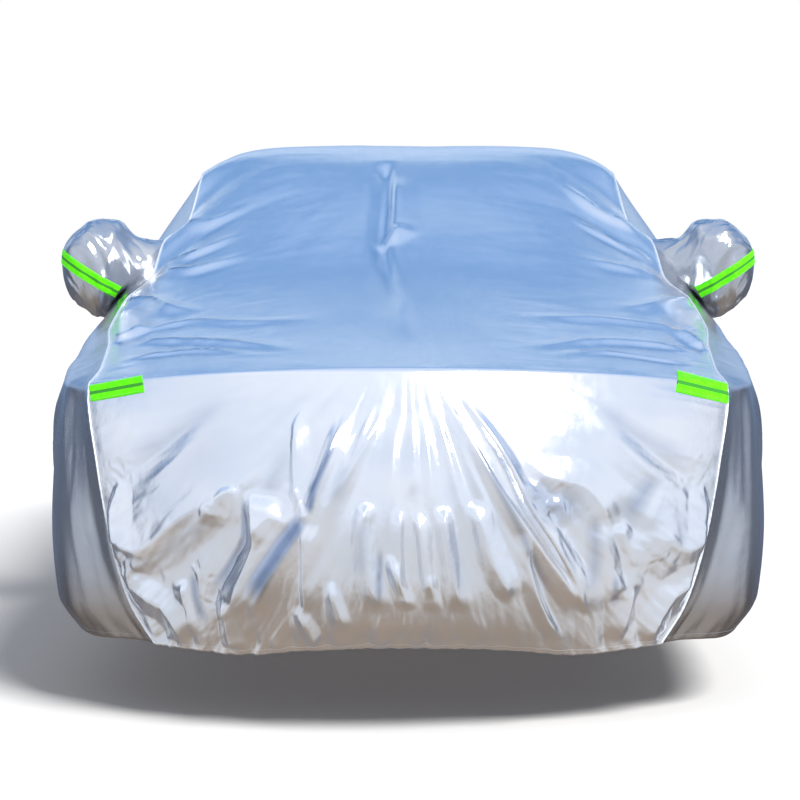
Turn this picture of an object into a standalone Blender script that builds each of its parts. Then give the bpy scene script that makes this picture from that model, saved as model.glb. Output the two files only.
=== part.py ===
"""Fitted car cover for a mid-size saloon, in the shape in which it hangs when it is on.

Thin silver cloth, cut as one long centre panel (nose, bonnet, windscreen, roof, rear window, boot, tail)
and two side panels, joined by a welted seam on each side. Each side panel has a mirror pocket.
Reflective strips are sewn on the front corners and on the pockets. The hem is gathered.

Sizes are in metres. X is to the right seen from the front, Y runs from the nose to the tail, Z is up.
The tables count Y from the nose and Z from the ground. The model's origin is under the top of the roof
part, where the cover is carried, so every point is moved there at the end.
"""

import bmesh
import bpy
import numpy as np
from mathutils import Vector

# Driving sizes.
CLOTH = 0.002
STRIP = 0.001
SEAM_GAP = 0.0003
WELT_RADIUS = 0.0025
ROOF_REST = (0.0, 2.80, 1.455)

# Mesh rows and columns.
CENTRE_COLUMNS_ACROSS = 28
HEM_ROWS = 16
# The step by which the slopes of a surface are measured.
SLOPE_STEP = 0.002

# The centre panel, a row for each section from the front hem to the rear hem. middle_y and middle_z are the
# section's highest point, on the centre line. seam_x, seam_y and seam_z are its end, at the welted seam.
# crown is how late the section bends towards its ends.
CENTRE = {
    # middle_y, middle_z, seam_x, seam_y, seam_z, crown
    "front_hem": (0.150, 0.203, 0.627, 0.320, 0.192, 2.6),
    "under_bumper": (0.060, 0.285, 0.690, 0.345, 0.290, 2.6),
    "bumper": (0.012, 0.400, 0.735, 0.365, 0.425, 2.6),
    "nose": (0.000, 0.515, 0.763, 0.385, 0.555, 2.6),
    "grille": (0.010, 0.610, 0.781, 0.410, 0.655, 2.6),
    "upper_grille": (0.035, 0.710, 0.797, 0.445, 0.735, 2.6),
    "lip": (0.080, 0.805, 0.805, 0.475, 0.790, 2.6),
    "front_edge": (0.125, 0.889, 0.806, 0.505, 0.825, 2.6),
    "bonnet": (0.450, 0.935, 0.790, 0.640, 0.856, 2.6),
    "bonnet_back": (0.800, 0.995, 0.797, 0.880, 0.898, 2.6),
    "windscreen_low": (1.150, 1.070, 0.818, 1.130, 0.937, 2.6),
    "windscreen_mid": (1.500, 1.175, 0.806, 1.420, 0.997, 2.7),
    "pillar_foot": (1.850, 1.295, 0.752, 1.660, 1.056, 2.8),
    "pillar": (2.050, 1.357, 0.735, 1.860, 1.153, 3.0),
    "header": (2.250, 1.407, 0.672, 2.030, 1.213, 3.4),
    "roof_front": (2.500, 1.443, 0.643, 2.370, 1.352, 3.6),
    "roof": (2.800, 1.455, 0.635, 2.800, 1.370, 3.6),
    "roof_back": (3.200, 1.440, 0.635, 3.200, 1.360, 3.6),
    "rear_header": (3.500, 1.400, 0.650, 3.500, 1.310, 3.4),
    "rear_window": (3.850, 1.270, 0.690, 3.880, 1.170, 3.0),
    "boot_front": (4.150, 1.140, 0.735, 4.150, 1.040, 2.8),
    "boot": (4.400, 1.060, 0.765, 4.350, 0.965, 2.6),
    "boot_back": (4.580, 1.010, 0.770, 4.480, 0.930, 2.6),
    "rear_corner": (4.680, 0.930, 0.765, 4.560, 0.870, 2.6),
    "tail_top": (4.720, 0.800, 0.760, 4.580, 0.760, 2.6),
    "tail": (4.725, 0.620, 0.745, 4.580, 0.620, 2.6),
    "rear_bumper": (4.700, 0.450, 0.720, 4.550, 0.460, 2.6),
    "under_tail": (4.650, 0.310, 0.685, 4.500, 0.330, 2.6),
    "rear_hem": (4.550, 0.215, 0.630, 4.420, 0.220, 2.6),
}

# The side panels, a row for each of the sections above from front_edge to rear_corner. Below the seam a
# section passes the shoulder, its widest point and its tuck, and ends at the hem. steps is the number of
# mesh rows up to the next section.
SIDE = {
    # shoulder_x, shoulder_z, widest_x, widest_z, tuck_x, tuck_z, hem_x, hem_y, hem_z, steps
    "front_edge": (0.800, 0.770, 0.763, 0.555, 0.690, 0.290, 0.627, 0.320, 0.192, 2),
    "bonnet": (0.882, 0.805, 0.905, 0.490, 0.880, 0.285, 0.825, 0.530, 0.214, 3),
    "bonnet_back": (0.903, 0.838, 0.943, 0.465, 0.928, 0.286, 0.900, 0.850, 0.236, 3),
    "windscreen_low": (0.902, 0.867, 0.950, 0.460, 0.938, 0.290, 0.917, 1.130, 0.240, 3),
    "windscreen_mid": (0.894, 0.905, 0.949, 0.460, 0.936, 0.290, 0.912, 1.440, 0.238, 3),
    "pillar_foot": (0.888, 0.930, 0.945, 0.470, 0.932, 0.290, 0.908, 1.700, 0.232, 3),
    "pillar": (0.885, 0.942, 0.944, 0.480, 0.930, 0.290, 0.905, 1.920, 0.226, 3),
    "header": (0.883, 0.952, 0.942, 0.480, 0.928, 0.290, 0.902, 2.110, 0.222, 2),
    "roof_front": (0.880, 0.960, 0.940, 0.480, 0.928, 0.290, 0.900, 2.430, 0.220, 2),
    "roof": (0.880, 0.965, 0.940, 0.480, 0.928, 0.290, 0.900, 2.780, 0.220, 2),
    "roof_back": (0.882, 0.970, 0.942, 0.490, 0.930, 0.290, 0.902, 3.120, 0.224, 2),
    "rear_header": (0.886, 0.970, 0.945, 0.495, 0.932, 0.290, 0.905, 3.400, 0.230, 2),
    "rear_window": (0.888, 0.965, 0.946, 0.500, 0.932, 0.292, 0.906, 3.750, 0.238, 2),
    "boot_front": (0.882, 0.940, 0.936, 0.505, 0.920, 0.296, 0.895, 4.000, 0.240, 2),
    "boot": (0.860, 0.895, 0.905, 0.515, 0.885, 0.305, 0.850, 4.170, 0.236, 1),
    "boot_back": (0.830, 0.860, 0.860, 0.540, 0.830, 0.315, 0.780, 4.300, 0.230, 1),
    "rear_corner": (0.764, 0.810, 0.745, 0.620, 0.685, 0.330, 0.630, 4.420, 0.220, 0),
}
# How far along from the seam to the hem a section has come in Y at its shoulder, widest point and tuck.
SIDE_RUN = (0.12, 0.55, 0.85)
# How far from its ends a side panel is drawn to the seams down the nose and the tail.
CORNER_BLEND = 0.50
# The way down a side panel from the seam to the hem, by which drops are counted.
SIDE_DROP = 0.95

# The main folds. Each runs straight from its head to its foot and stands out from the cloth by height, or
# sinks in where height is negative. On the centre panel across is X and up is the way along the cloth from
# the front hem. On the side panels along is the same way, and drop is the way down from the seam.
CENTRE_FOLDS = {
    # head_across, head_up, foot_across, foot_up, width, height
    "left_corner_band": (-0.42, 0.69, -0.74, 0.33, 0.075, -0.014),
    "right_corner_band": (0.42, 0.69, 0.74, 0.34, 0.075, -0.014),
    "left_lip": (-0.72, 0.27, -0.36, 0.48, 0.080, 0.030),
    "right_lip": (0.72, 0.28, 0.57, 0.31, 0.080, 0.026),
    "left_slope": (-0.40, 0.45, -0.52, 0.08, 0.070, 0.022),
    "left_valley": (-0.14, 0.64, -0.40, 0.09, 0.065, -0.026),
    "left_panel": (-0.24, 0.63, -0.28, 0.18, 0.070, 0.018),
    "centre_left": (-0.08, 0.60, -0.11, -0.05, 0.060, 0.018),
    "centre": (0.01, 0.46, 0.00, -0.05, 0.055, -0.014),
    "centre_right": (0.06, 0.62, 0.13, -0.05, 0.060, 0.018),
    "right_ridge": (0.12, 0.67, 0.28, 0.30, 0.055, 0.022),
    "right_foot": (0.26, 0.40, 0.44, 0.04, 0.060, 0.026),
    "right_hollow": (0.28, 0.47, 0.42, 0.16, 0.080, -0.020),
    "right_panel": (0.38, 0.50, 0.54, 0.24, 0.070, 0.022),
    "right_low": (0.48, 0.34, 0.54, -0.05, 0.060, -0.016),
    "windscreen_crease": (-0.07, 2.95, -0.06, 1.05, 0.070, -0.012),
    "tail_left": (-0.30, 5.50, -0.42, 6.35, 0.090, 0.018),
    "tail_middle": (-0.02, 5.65, 0.05, 6.35, 0.080, -0.014),
    "tail_right": (0.28, 5.55, 0.38, 6.35, 0.090, 0.018),
}
SIDE_FOLDS = {
    # head_along, head_drop, foot_along, foot_drop, width, height
    "front_wing": (1.10, 0.10, 1.75, 0.70, 0.110, 0.012),
    "under_mirror": (2.70, 0.34, 2.35, 0.90, 0.110, -0.012),
    "door": (3.05, 0.22, 3.35, 0.95, 0.120, 0.014),
    "rear_door": (3.80, 0.18, 3.95, 0.95, 0.120, -0.012),
    "rear_wing": (4.70, 0.12, 4.25, 0.85, 0.120, 0.014),
}
# How blunt the ends of a fold are, and how sharply the folds of the centre panel fade at the seams.
FOLD_END = 0.6
SEAM_FADE = 8
# How far from the seam, as a share of the way down, and from its ends the folds of a side panel fade.
SIDE_FADE = 0.12
SIDE_END_FADE = 0.30
# The middle line of the space under the cover.
MIDDLE_FRONT_Y = 0.6
MIDDLE_REAR_Y = 4.2
MIDDLE_Z = 0.5

# The mirror pocket. Its mouth is a hole in the side panel, between the mesh rows of the sections named,
# and from mouth_top to mouth_bottom rows below the seam. Each row of the table is one ring of the pocket.
MOUTH_FROM_STEP = ("pillar_foot", 2)
MOUTH_TO_STEP = ("header", 0)
MOUTH_ROWS = (1, 4)
MOUTH_CENTRE_DROP = 0.112
MOUTH_HALF_DROP = 0.086
MOUTH_HALF_ALONG = 0.125
POCKET_ROUND = 0.85
POCKET = {
    # top_x, top_z, bottom_x, bottom_z, front_y, back_y
    "neck": (0.815, 1.162, 0.912, 0.936, 1.785, 2.010),
    "belly": (0.872, 1.215, 0.942, 0.953, 1.745, 2.010),
    "shoulder": (0.930, 1.217, 0.972, 0.980, 1.742, 1.995),
    "tip": (0.985, 1.183, 1.000, 1.003, 1.770, 1.980),
    "end": (1.018, 1.135, 1.020, 1.050, 1.820, 1.935),
}

# The sewn strips, as bands seen straight from the front: both ends of the middle line, the width, and how
# far back the band reaches.
BANDS = {
    # start_x, start_z, end_x, end_z, width, back_y
    "front_strip": (0.800, 0.794, 0.668, 0.820, 0.038, 1.20),
    "mirror_strip": (1.060, 1.136, 0.868, 1.006, 0.040, 1.87),
}

# Cloth finishes: colour, roughness and metallic value.
FINISHES = {
    "silver_cloth": ((0.70, 0.74, 0.80, 1.0), 0.30, 0.85),
    "silver_welt": ((0.88, 0.90, 0.93, 1.0), 0.35, 0.60),
    "green_reflective": ((0.12, 0.90, 0.02, 1.0), 0.45, 0.00),
}


def steady_slopes(knots, rows):
    """Slopes at the knots of a curve that never swings past its own points."""
    run = np.diff(rows, axis=0) / np.diff(knots)[:, None]
    before = run[:-1]
    after = run[1:]
    same_way = before * after > 0
    total = np.where(same_way, before + after, 1.0)
    middle = np.where(same_way, 2 * before * after / total, 0.0)
    return np.concatenate([run[:1], middle, run[-1:]])


def run_through(knots, rows, at):
    """Points of a smooth curve through the table rows, at the given places along its knots."""
    slopes = steady_slopes(knots, rows)
    index = np.clip(np.searchsorted(knots, at, side="right") - 1, 0, len(knots) - 2)
    length = (knots[index + 1] - knots[index])[:, None]
    t = (at - knots[index])[:, None] / length
    start = (2 * t**3 - 3 * t**2 + 1) * rows[index]
    start_slope = (t**3 - 2 * t**2 + t) * length * slopes[index]
    end = (3 * t**2 - 2 * t**3) * rows[index + 1]
    end_slope = (t**3 - t**2) * length * slopes[index + 1]
    return start + start_slope + end + end_slope


def way_along(points):
    """Distance along a row of points, from the first one."""
    steps = np.linalg.norm(np.diff(points, axis=0), axis=1)
    return np.concatenate([[0.0], np.cumsum(steps)])


SECTIONS = list(CENTRE)
CENTRE_ROWS = np.array(list(CENTRE.values()))
SIDE_ROWS = np.array(list(SIDE.values()))
CENTRE_UP = way_along(CENTRE_ROWS[:, :2])
UP_OF = dict(zip(SECTIONS, CENTRE_UP))
FRONT_UP = UP_OF["front_edge"]
REAR_UP = UP_OF["rear_corner"]
TOTAL_UP = CENTRE_UP[-1]
SIDE_UP = np.array([UP_OF[name] for name in SIDE])


def centre_base(up, across):
    """The centre panel without its folds. across runs from -1 at the left seam to 1 at the right seam."""
    middle_y, middle_z, seam_x, seam_y, seam_z, crown = run_through(CENTRE_UP, CENTRE_ROWS, up).T
    bend = np.abs(across) ** crown
    y = middle_y + (seam_y - middle_y) * bend
    z = middle_z + (seam_z - middle_z) * bend
    return np.stack([seam_x * across, y, z], axis=1)


def seam_line(up):
    """The right-hand seam."""
    return centre_base(up, np.ones_like(up))


def side_section(up, share):
    """The side panel's sections, at a share of the way from the seam (0) to the hem (1)."""
    seam = seam_line(up)
    row = run_through(SIDE_UP, SIDE_ROWS, up)
    seam_y = seam[:, 1]
    hem_y = row[:, 7]
    stations = [seam]
    for number, run in enumerate(SIDE_RUN):
        x = row[:, 2 * number]
        z = row[:, 2 * number + 1]
        stations.append(np.stack([x, seam_y + (hem_y - seam_y) * run, z], axis=1))
    stations.append(row[:, 6:9])
    stations = np.stack(stations, axis=1)
    points = []
    for section, part in zip(stations, share):
        down = way_along(section)
        points.append(run_through(down, section, np.array([part * down[-1]]))[0])
    return np.array(points)


def side_base(up, share):
    """The right side panel without its folds. Its two ends are drawn to the seam down the nose and tail."""
    points = side_section(up, share)
    ends = (
        (FRONT_UP, up - FRONT_UP, FRONT_UP * (1 - share)),
        (REAR_UP, REAR_UP - up, REAR_UP + (TOTAL_UP - REAR_UP) * share),
    )
    for end_up, distance, seam_up in ends:
        pull = np.clip(1 - distance / CORNER_BLEND, 0, 1) ** 2
        end_section = side_section(np.full_like(up, end_up), share)
        points += pull[:, None] * (seam_line(seam_up) - end_section)
    return points


def surface_normals(surface, first, second, outward):
    """Unit normals of a surface of two parameters, on the side of the direction outward."""
    along = surface(first + SLOPE_STEP, second) - surface(first - SLOPE_STEP, second)
    down = surface(first, second + SLOPE_STEP) - surface(first, second - SLOPE_STEP)
    normals = np.cross(along, down)
    normals /= np.linalg.norm(normals, axis=1)[:, None]
    facing = np.sign(np.sum(normals * outward, axis=1))
    return normals * facing[:, None]


def fold_height(first, second, folds):
    """How far the folds lift the cloth at the given places."""
    lift = np.zeros_like(first)
    for head_first, head_second, foot_first, foot_second, width, height in folds.values():
        run_first = foot_first - head_first
        run_second = foot_second - head_second
        length = np.hypot(run_first, run_second)
        from_head_first = first - head_first
        from_head_second = second - head_second
        part = (from_head_first * run_first + from_head_second * run_second) / length**2
        away = (from_head_first * run_second - from_head_second * run_first) / length
        ends = np.clip(4 * part * (1 - part), 0, 1) ** FOLD_END
        crest = np.cos(0.5 * np.pi * np.clip(np.abs(away) / width, 0, 1)) ** 2
        lift += height * ends * crest
    return lift


def outwards(points):
    """Directions away from the middle line of the space under the cover."""
    middle = np.zeros_like(points)
    middle[:, 1] = np.clip(points[:, 1], MIDDLE_FRONT_Y, MIDDLE_REAR_Y)
    middle[:, 2] = MIDDLE_Z
    return points - middle


def centre_points(up, across):
    """The centre panel with its folds, which fade out at the seams."""
    base = centre_base(up, across)
    normals = surface_normals(centre_base, up, across, outwards(base))
    fade = 1 - across**SEAM_FADE
    lift = fold_height(base[:, 0], up, CENTRE_FOLDS) * fade
    return base + normals * lift[:, None]


def side_points(up, share):
    """The right side panel with its folds, which fade out at the seam and at both ends."""
    base = side_base(up, share)
    normals = surface_normals(side_base, up, share, outwards(base))
    from_seam = np.clip(share / SIDE_FADE, 0, 1)
    from_front = np.clip((up - FRONT_UP) / SIDE_END_FADE, 0, 1)
    from_rear = np.clip((REAR_UP - up) / SIDE_END_FADE, 0, 1)
    lift = fold_height(up, share * SIDE_DROP, SIDE_FOLDS) * from_seam * from_front * from_rear
    return base + normals * lift[:, None]


def row_places():
    """The mesh rows: the places up the centre panel where the rows of all the panels lie."""
    front = np.linspace(0, FRONT_UP, HEM_ROWS + 1)
    rear = np.linspace(REAR_UP, TOTAL_UP, HEM_ROWS + 1)
    body = [FRONT_UP]
    for number, steps in enumerate(SIDE_ROWS[:-1, -1].astype(int)):
        body.extend(np.linspace(SIDE_UP[number], SIDE_UP[number + 1], steps + 1)[1:])
    return front, np.array(body), rear


FRONT_PLACES, BODY_PLACES, REAR_PLACES = row_places()
ALL_PLACES = np.concatenate([FRONT_PLACES, BODY_PLACES[1:-1], REAR_PLACES])


def body_row(section, extra):
    """Number of the mesh row that lies extra steps past a section."""
    names = list(SIDE)
    return int(SIDE_ROWS[: names.index(section), -1].sum()) + extra


def grid_normals(grid):
    """Unit normals at the points of a grid, each the mean over the cells round the point."""
    cells = np.cross(grid[1:, 1:] - grid[:-1, :-1], grid[:-1, 1:] - grid[1:, :-1])
    normals = np.zeros_like(grid)
    for row in (slice(None, -1), slice(1, None)):
        for column in (slice(None, -1), slice(1, None)):
            normals[row, column] += cells
    return normals / np.linalg.norm(normals, axis=2)[:, :, None]


def drawn_back(edge, inside, normals):
    """The seam edge of a panel, drawn back in its own plane from the seam, to leave room for the welt."""
    runs = np.diff(edge, axis=0)
    runs /= np.linalg.norm(runs, axis=1)[:, None]
    before = np.concatenate([runs[:1], runs])
    after = np.concatenate([runs, runs[-1:]])
    tangent = before + after
    tangent /= np.linalg.norm(tangent, axis=1)[:, None]
    mitre = np.sum(tangent * after, axis=1)[:, None]
    inward = np.cross(normals, tangent)
    inward *= np.sign(np.sum(inward * (inside - edge), axis=1))[:, None]
    inward /= np.linalg.norm(inward, axis=1)[:, None]
    return edge + inward * (WELT_RADIUS + SEAM_GAP) / mitre


def centre_grid():
    """Points of the centre panel's mesh, row by row from the front hem, left to right."""
    across = np.linspace(-1, 1, CENTRE_COLUMNS_ACROSS + 1)
    up_grid, across_grid = np.meshgrid(ALL_PLACES, across, indexing="ij")
    grid = centre_points(up_grid.ravel(), across_grid.ravel()).reshape(*up_grid.shape, 3)
    normals = grid_normals(grid)
    left_edge = drawn_back(grid[:, 0], grid[:, 1], normals[:, 0])
    right_edge = drawn_back(grid[:, -1], grid[:, -2], normals[:, -1])
    grid[:, 0] = left_edge
    grid[:, -1] = right_edge
    return grid


def mouth_block():
    """First and last mesh row and column of the part of the side panel that the pocket's mouth takes."""
    first = body_row(*MOUTH_FROM_STEP)
    last = body_row(*MOUTH_TO_STEP)
    return first, last, MOUTH_ROWS[0], MOUTH_ROWS[1]


def mouth_loop():
    """The mouth's corner points: their place in the side mesh, and their angle about the mouth."""
    first, last, top, bottom = mouth_block()
    cells = [(row, top) for row in range(first, last)]
    cells += [(last, column) for column in range(top, bottom)]
    cells += [(row, bottom) for row in range(last, first, -1)]
    cells += [(first, column) for column in range(bottom, top, -1)]
    cells = np.array(cells)
    along = (cells[:, 0] - (first + last) / 2) / ((last - first) / 2)
    down = (cells[:, 1] - (top + bottom) / 2) / ((bottom - top) / 2)
    return cells, np.arctan2(down, along)


def rounded(angle):
    """The two shares of a ring that is a little squarer than an ellipse."""
    along = np.sign(np.cos(angle)) * np.abs(np.cos(angle)) ** POCKET_ROUND
    down = np.sign(np.sin(angle)) * np.abs(np.sin(angle)) ** POCKET_ROUND
    return along, down


def mouth_places(angle):
    """Where the mouth's points lie on the side panel."""
    first, last, _, _ = mouth_block()
    centre_up = (BODY_PLACES[first] + BODY_PLACES[last]) / 2
    along, down = rounded(angle)
    up = centre_up + MOUTH_HALF_ALONG * along
    share = (MOUTH_CENTRE_DROP + MOUTH_HALF_DROP * down) / SIDE_DROP
    return up, share


def along_seam(grid):
    """The border of the side panel that follows the seam: up its front, along its top and down its rear."""
    return np.concatenate([grid[0, :0:-1], grid[:, 0], grid[-1, 1:]])


def side_grid():
    """Points of the right side panel's mesh, row by row from the nose, each from the seam to the hem."""
    share = np.linspace(0, 1, HEM_ROWS + 1)
    up_grid, share_grid = np.meshgrid(BODY_PLACES, share, indexing="ij")
    cells, angle = mouth_loop()
    mouth_up, mouth_share = mouth_places(angle)
    up_grid[cells[:, 0], cells[:, 1]] = mouth_up
    share_grid[cells[:, 0], cells[:, 1]] = mouth_share
    grid = side_points(up_grid.ravel(), share_grid.ravel()).reshape(*up_grid.shape, 3)
    normals = along_seam(grid_normals(grid))
    top_inside = grid[:, 1].copy()
    top_inside[0] = grid[1, 1]
    top_inside[-1] = grid[-2, 1]
    inside = np.concatenate([grid[1, :0:-1], top_inside, grid[-2, 1:]])
    seam = drawn_back(along_seam(grid), inside, normals)
    grid[0, :0:-1] = seam[:HEM_ROWS]
    grid[:, 0] = seam[HEM_ROWS:-HEM_ROWS]
    grid[-1, 1:] = seam[-HEM_ROWS:]
    return grid


def pocket_rings():
    """Rings of the right mirror pocket, from its mouth on the side panel to its end."""
    _, angle = mouth_loop()
    mouth_up, mouth_share = mouth_places(angle)
    mouth = side_points(mouth_up, mouth_share)
    normals = surface_normals(side_base, mouth_up, mouth_share, outwards(mouth))
    rings = [mouth + normals * SEAM_GAP]
    along, down = rounded(angle)
    for top_x, top_z, bottom_x, bottom_z, front_y, back_y in POCKET.values():
        x = (top_x + bottom_x) / 2 + (bottom_x - top_x) / 2 * down
        y = (front_y + back_y) / 2 + (back_y - front_y) / 2 * along
        z = (top_z + bottom_z) / 2 + (bottom_z - top_z) / 2 * down
        rings.append(np.stack([x, y, z], axis=1))
    return np.array(rings)


def finish_material(name):
    """A material with one of the part's plain finishes."""
    material = bpy.data.materials.get(name)
    if material:
        return material
    colour, roughness, metallic = FINISHES[name]
    material = bpy.data.materials.new(name)
    material.use_nodes = True
    shader = material.node_tree.nodes["Principled BSDF"]
    shader.inputs["Base Color"].default_value = colour
    shader.inputs["Roughness"].default_value = roughness
    shader.inputs["Metallic"].default_value = metallic
    material.diffuse_color = colour
    return material


def to_origin(point, side):
    """A table point in the part's own frame, mirrored in X for the left side."""
    rest_x, rest_y, rest_z = ROOF_REST
    return Vector((point[0] * side - rest_x, point[1] - rest_y, point[2] - rest_z + CLOTH))


def surface_from_grid(grid, side, skip=None):
    """An open surface of triangles through a grid of points, with an optional block of cells left out."""
    rows = len(grid) - 1
    columns = len(grid[0]) - 1
    surface = bmesh.new()
    bmesh.ops.create_grid(surface, x_segments=columns, y_segments=rows, size=0.5)
    places = {}
    for vertex in surface.verts:
        column = round((vertex.co.x + 0.5) * columns)
        row = round((vertex.co.y + 0.5) * rows)
        places[vertex] = (row, column)
    left_out = []
    if skip:
        first, last, top, bottom = skip
        for face in surface.faces:
            row = min(places[vertex][0] for vertex in face.verts)
            column = min(places[vertex][1] for vertex in face.verts)
            if first <= row < last and top <= column < bottom:
                left_out.append(face)
    for vertex, (row, column) in places.items():
        vertex.co = to_origin(grid[row][column], side)
    bmesh.ops.delete(surface, geom=left_out, context="FACES")
    split_corners(surface)
    bmesh.ops.triangulate(surface, faces=surface.faces[:])
    return surface


def split_corners(surface):
    """Split each corner cell from its corner, so that no thin triangle lies along the seam there."""
    corners = [vertex for vertex in surface.verts if len(vertex.link_edges) == 2]
    for corner in corners:
        cell = corner.link_faces[0]
        beside = [edge.other_vert(corner) for edge in corner.link_edges]
        opposite = next(vertex for vertex in cell.verts if vertex is not corner and vertex not in beside)
        bmesh.utils.face_split(cell, corner, opposite)


def surface_from_rings(rings, side):
    """An open surface of triangles lofted through rings of points and closed at its far end."""
    surface = bmesh.new()
    loft = [[surface.verts.new(to_origin(point, side)) for point in ring] for ring in rings]
    count = len(loft[0])
    for ring, following in zip(loft, loft[1:]):
        for number in range(count):
            after = (number + 1) % count
            surface.faces.new((ring[number], ring[after], following[after], following[number]))
    surface.faces.new(loft[-1])
    bmesh.ops.triangulate(surface, faces=surface.faces[:])
    return surface


def face_away_from(surface, middle):
    """Turn the faces so that they look away from a point inside."""
    surface.normal_update()
    total = 0.0
    for face in surface.faces:
        total += face.normal.dot(face.calc_center_median() - middle) * face.calc_area()
    if total < 0:
        bmesh.ops.reverse_faces(surface, faces=surface.faces[:])
    surface.normal_update()


def add_cloth(name, surface, thickness, offset, material, collection):
    """A named object from an open surface, given its thickness."""
    mesh = bpy.data.meshes.new(name)
    surface.to_mesh(mesh)
    surface.free()
    mesh.materials.append(finish_material(material))
    mesh.shade_smooth()
    cloth = bpy.data.objects.new(name, mesh)
    collection.objects.link(cloth)
    solidify = cloth.modifiers.new("thickness", "SOLIDIFY")
    solidify.thickness = thickness
    solidify.offset = offset
    return cloth


def cut_band(surface, band, side):
    """Keep the band of a surface that is seen straight from the front."""
    start_x, start_z, end_x, end_z, width, back_y = band
    start = to_origin((start_x, 0.0, start_z), side)
    end = to_origin((end_x, 0.0, end_z), side)
    run = (end - start).normalized()
    over = Vector((-run.z, 0.0, run.x))
    back = to_origin((0.0, back_y, 0.0), side)
    cuts = (
        (start, -run),
        (end, run),
        (start + over * width / 2, over),
        (start - over * width / 2, -over),
        (back, Vector((0.0, 1.0, 0.0))),
    )
    for place, outward in cuts:
        bmesh.ops.bisect_plane(
            surface,
            geom=surface.verts[:] + surface.edges[:] + surface.faces[:],
            plane_co=place,
            plane_no=outward,
            clear_outer=True,
        )


def add_strip(name, suffix, cloth, side, collection):
    """A reflective strip that lies on a piece of cloth, just clear of it."""
    surface = bmesh.new()
    surface.from_mesh(cloth.data)
    surface.normal_update()
    for vertex, normal in [(vertex, vertex.normal.copy()) for vertex in surface.verts]:
        vertex.co += normal * SEAM_GAP
    cut_band(surface, BANDS[name], side)
    surface.normal_update()
    add_cloth(name + "_" + suffix, surface, STRIP, 1.0, "green_reflective", collection)


def add_welt(name, side, collection):
    """The welt: a thin cord in the seam between the centre panel and a side panel."""
    curve = bpy.data.curves.new(name, "CURVE")
    curve.dimensions = "3D"
    curve.bevel_depth = WELT_RADIUS
    curve.bevel_resolution = 0
    curve.use_fill_caps = True
    spline = curve.splines.new("POLY")
    points = seam_line(ALL_PLACES)
    spline.points.add(len(points) - 1)
    for spline_point, point in zip(spline.points, points):
        spline_point.co = (*to_origin(point, side), 1.0)
    curve.materials.append(finish_material("silver_welt"))
    welt = bpy.data.objects.new(name, curve)
    collection.objects.link(welt)


def build():
    """Make every piece of the cover."""
    for old in list(bpy.data.objects):
        bpy.data.objects.remove(old, do_unlink=True)
    collection = bpy.data.collections.new("car_cover")
    bpy.context.scene.collection.children.link(collection)

    inside = to_origin((0.0, (MIDDLE_FRONT_Y + MIDDLE_REAR_Y) / 2, MIDDLE_Z), 1)
    surface = surface_from_grid(centre_grid(), 1)
    face_away_from(surface, inside)
    centre = add_cloth("centre_panel", surface, CLOTH, -1.0, "silver_cloth", collection)

    side_mesh_grid = side_grid()
    rings = pocket_rings()
    for suffix, side in (("left", -1), ("right", 1)):
        surface = surface_from_grid(side_mesh_grid, side, mouth_block())
        face_away_from(surface, inside)
        add_cloth("side_panel_" + suffix, surface, CLOTH, -1.0, "silver_cloth", collection)

        surface = surface_from_rings(rings, side)
        face_away_from(surface, to_origin(rings.reshape(-1, 3).mean(axis=0), side))
        pocket = add_cloth("mirror_pocket_" + suffix, surface, CLOTH, -1.0, "silver_cloth", collection)

        add_strip("front_strip", suffix, centre, side, collection)
        add_strip("mirror_strip", suffix, pocket, side, collection)
        add_welt("seam_welt_" + suffix, side, collection)


build()
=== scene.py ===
# %% [markdown]
# # A fitted cover of silver-coated cloth
# The real cover is sewn from one long centre panel and two side panels. A bright welt is rolled over each
# long seam, a pocket on each side takes a door mirror, and fluorescent strips mark corners and pockets.
# Nothing in it is stiff: all that shows is how thin coated cloth hangs, folds and mirrors its surroundings.
# So this lesson spends its effort on three things: the drape, the folds, and a coating that behaves like foil.

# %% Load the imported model
import math

import bmesh
import bpy
import numpy as np
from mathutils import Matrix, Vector


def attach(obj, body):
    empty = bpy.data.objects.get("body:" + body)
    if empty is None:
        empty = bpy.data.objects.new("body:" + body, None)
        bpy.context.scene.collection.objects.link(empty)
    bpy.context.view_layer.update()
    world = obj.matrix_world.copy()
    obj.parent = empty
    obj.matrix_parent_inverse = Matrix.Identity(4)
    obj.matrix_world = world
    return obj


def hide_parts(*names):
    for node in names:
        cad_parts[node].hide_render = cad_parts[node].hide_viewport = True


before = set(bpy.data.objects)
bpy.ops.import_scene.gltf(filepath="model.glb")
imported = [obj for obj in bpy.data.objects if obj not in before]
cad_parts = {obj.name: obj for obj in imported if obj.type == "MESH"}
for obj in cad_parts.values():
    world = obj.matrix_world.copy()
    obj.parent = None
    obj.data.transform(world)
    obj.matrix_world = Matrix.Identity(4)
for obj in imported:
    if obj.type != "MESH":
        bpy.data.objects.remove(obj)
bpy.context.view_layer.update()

print("nodes:", sorted(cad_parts))

# %% [markdown]
# ## The drape
# The cloth rests on rounded forms, so its shape is a lofted surface: a table of cross sections, joined by a
# curve that never swings past its own points. A simulated drape would be softer everywhere, but it could not
# keep the crisp edge over the nose or the exact line of the seams. The sections are counted by the way up
# along the centre line from the front hem, as the maker's pattern would be.

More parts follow.
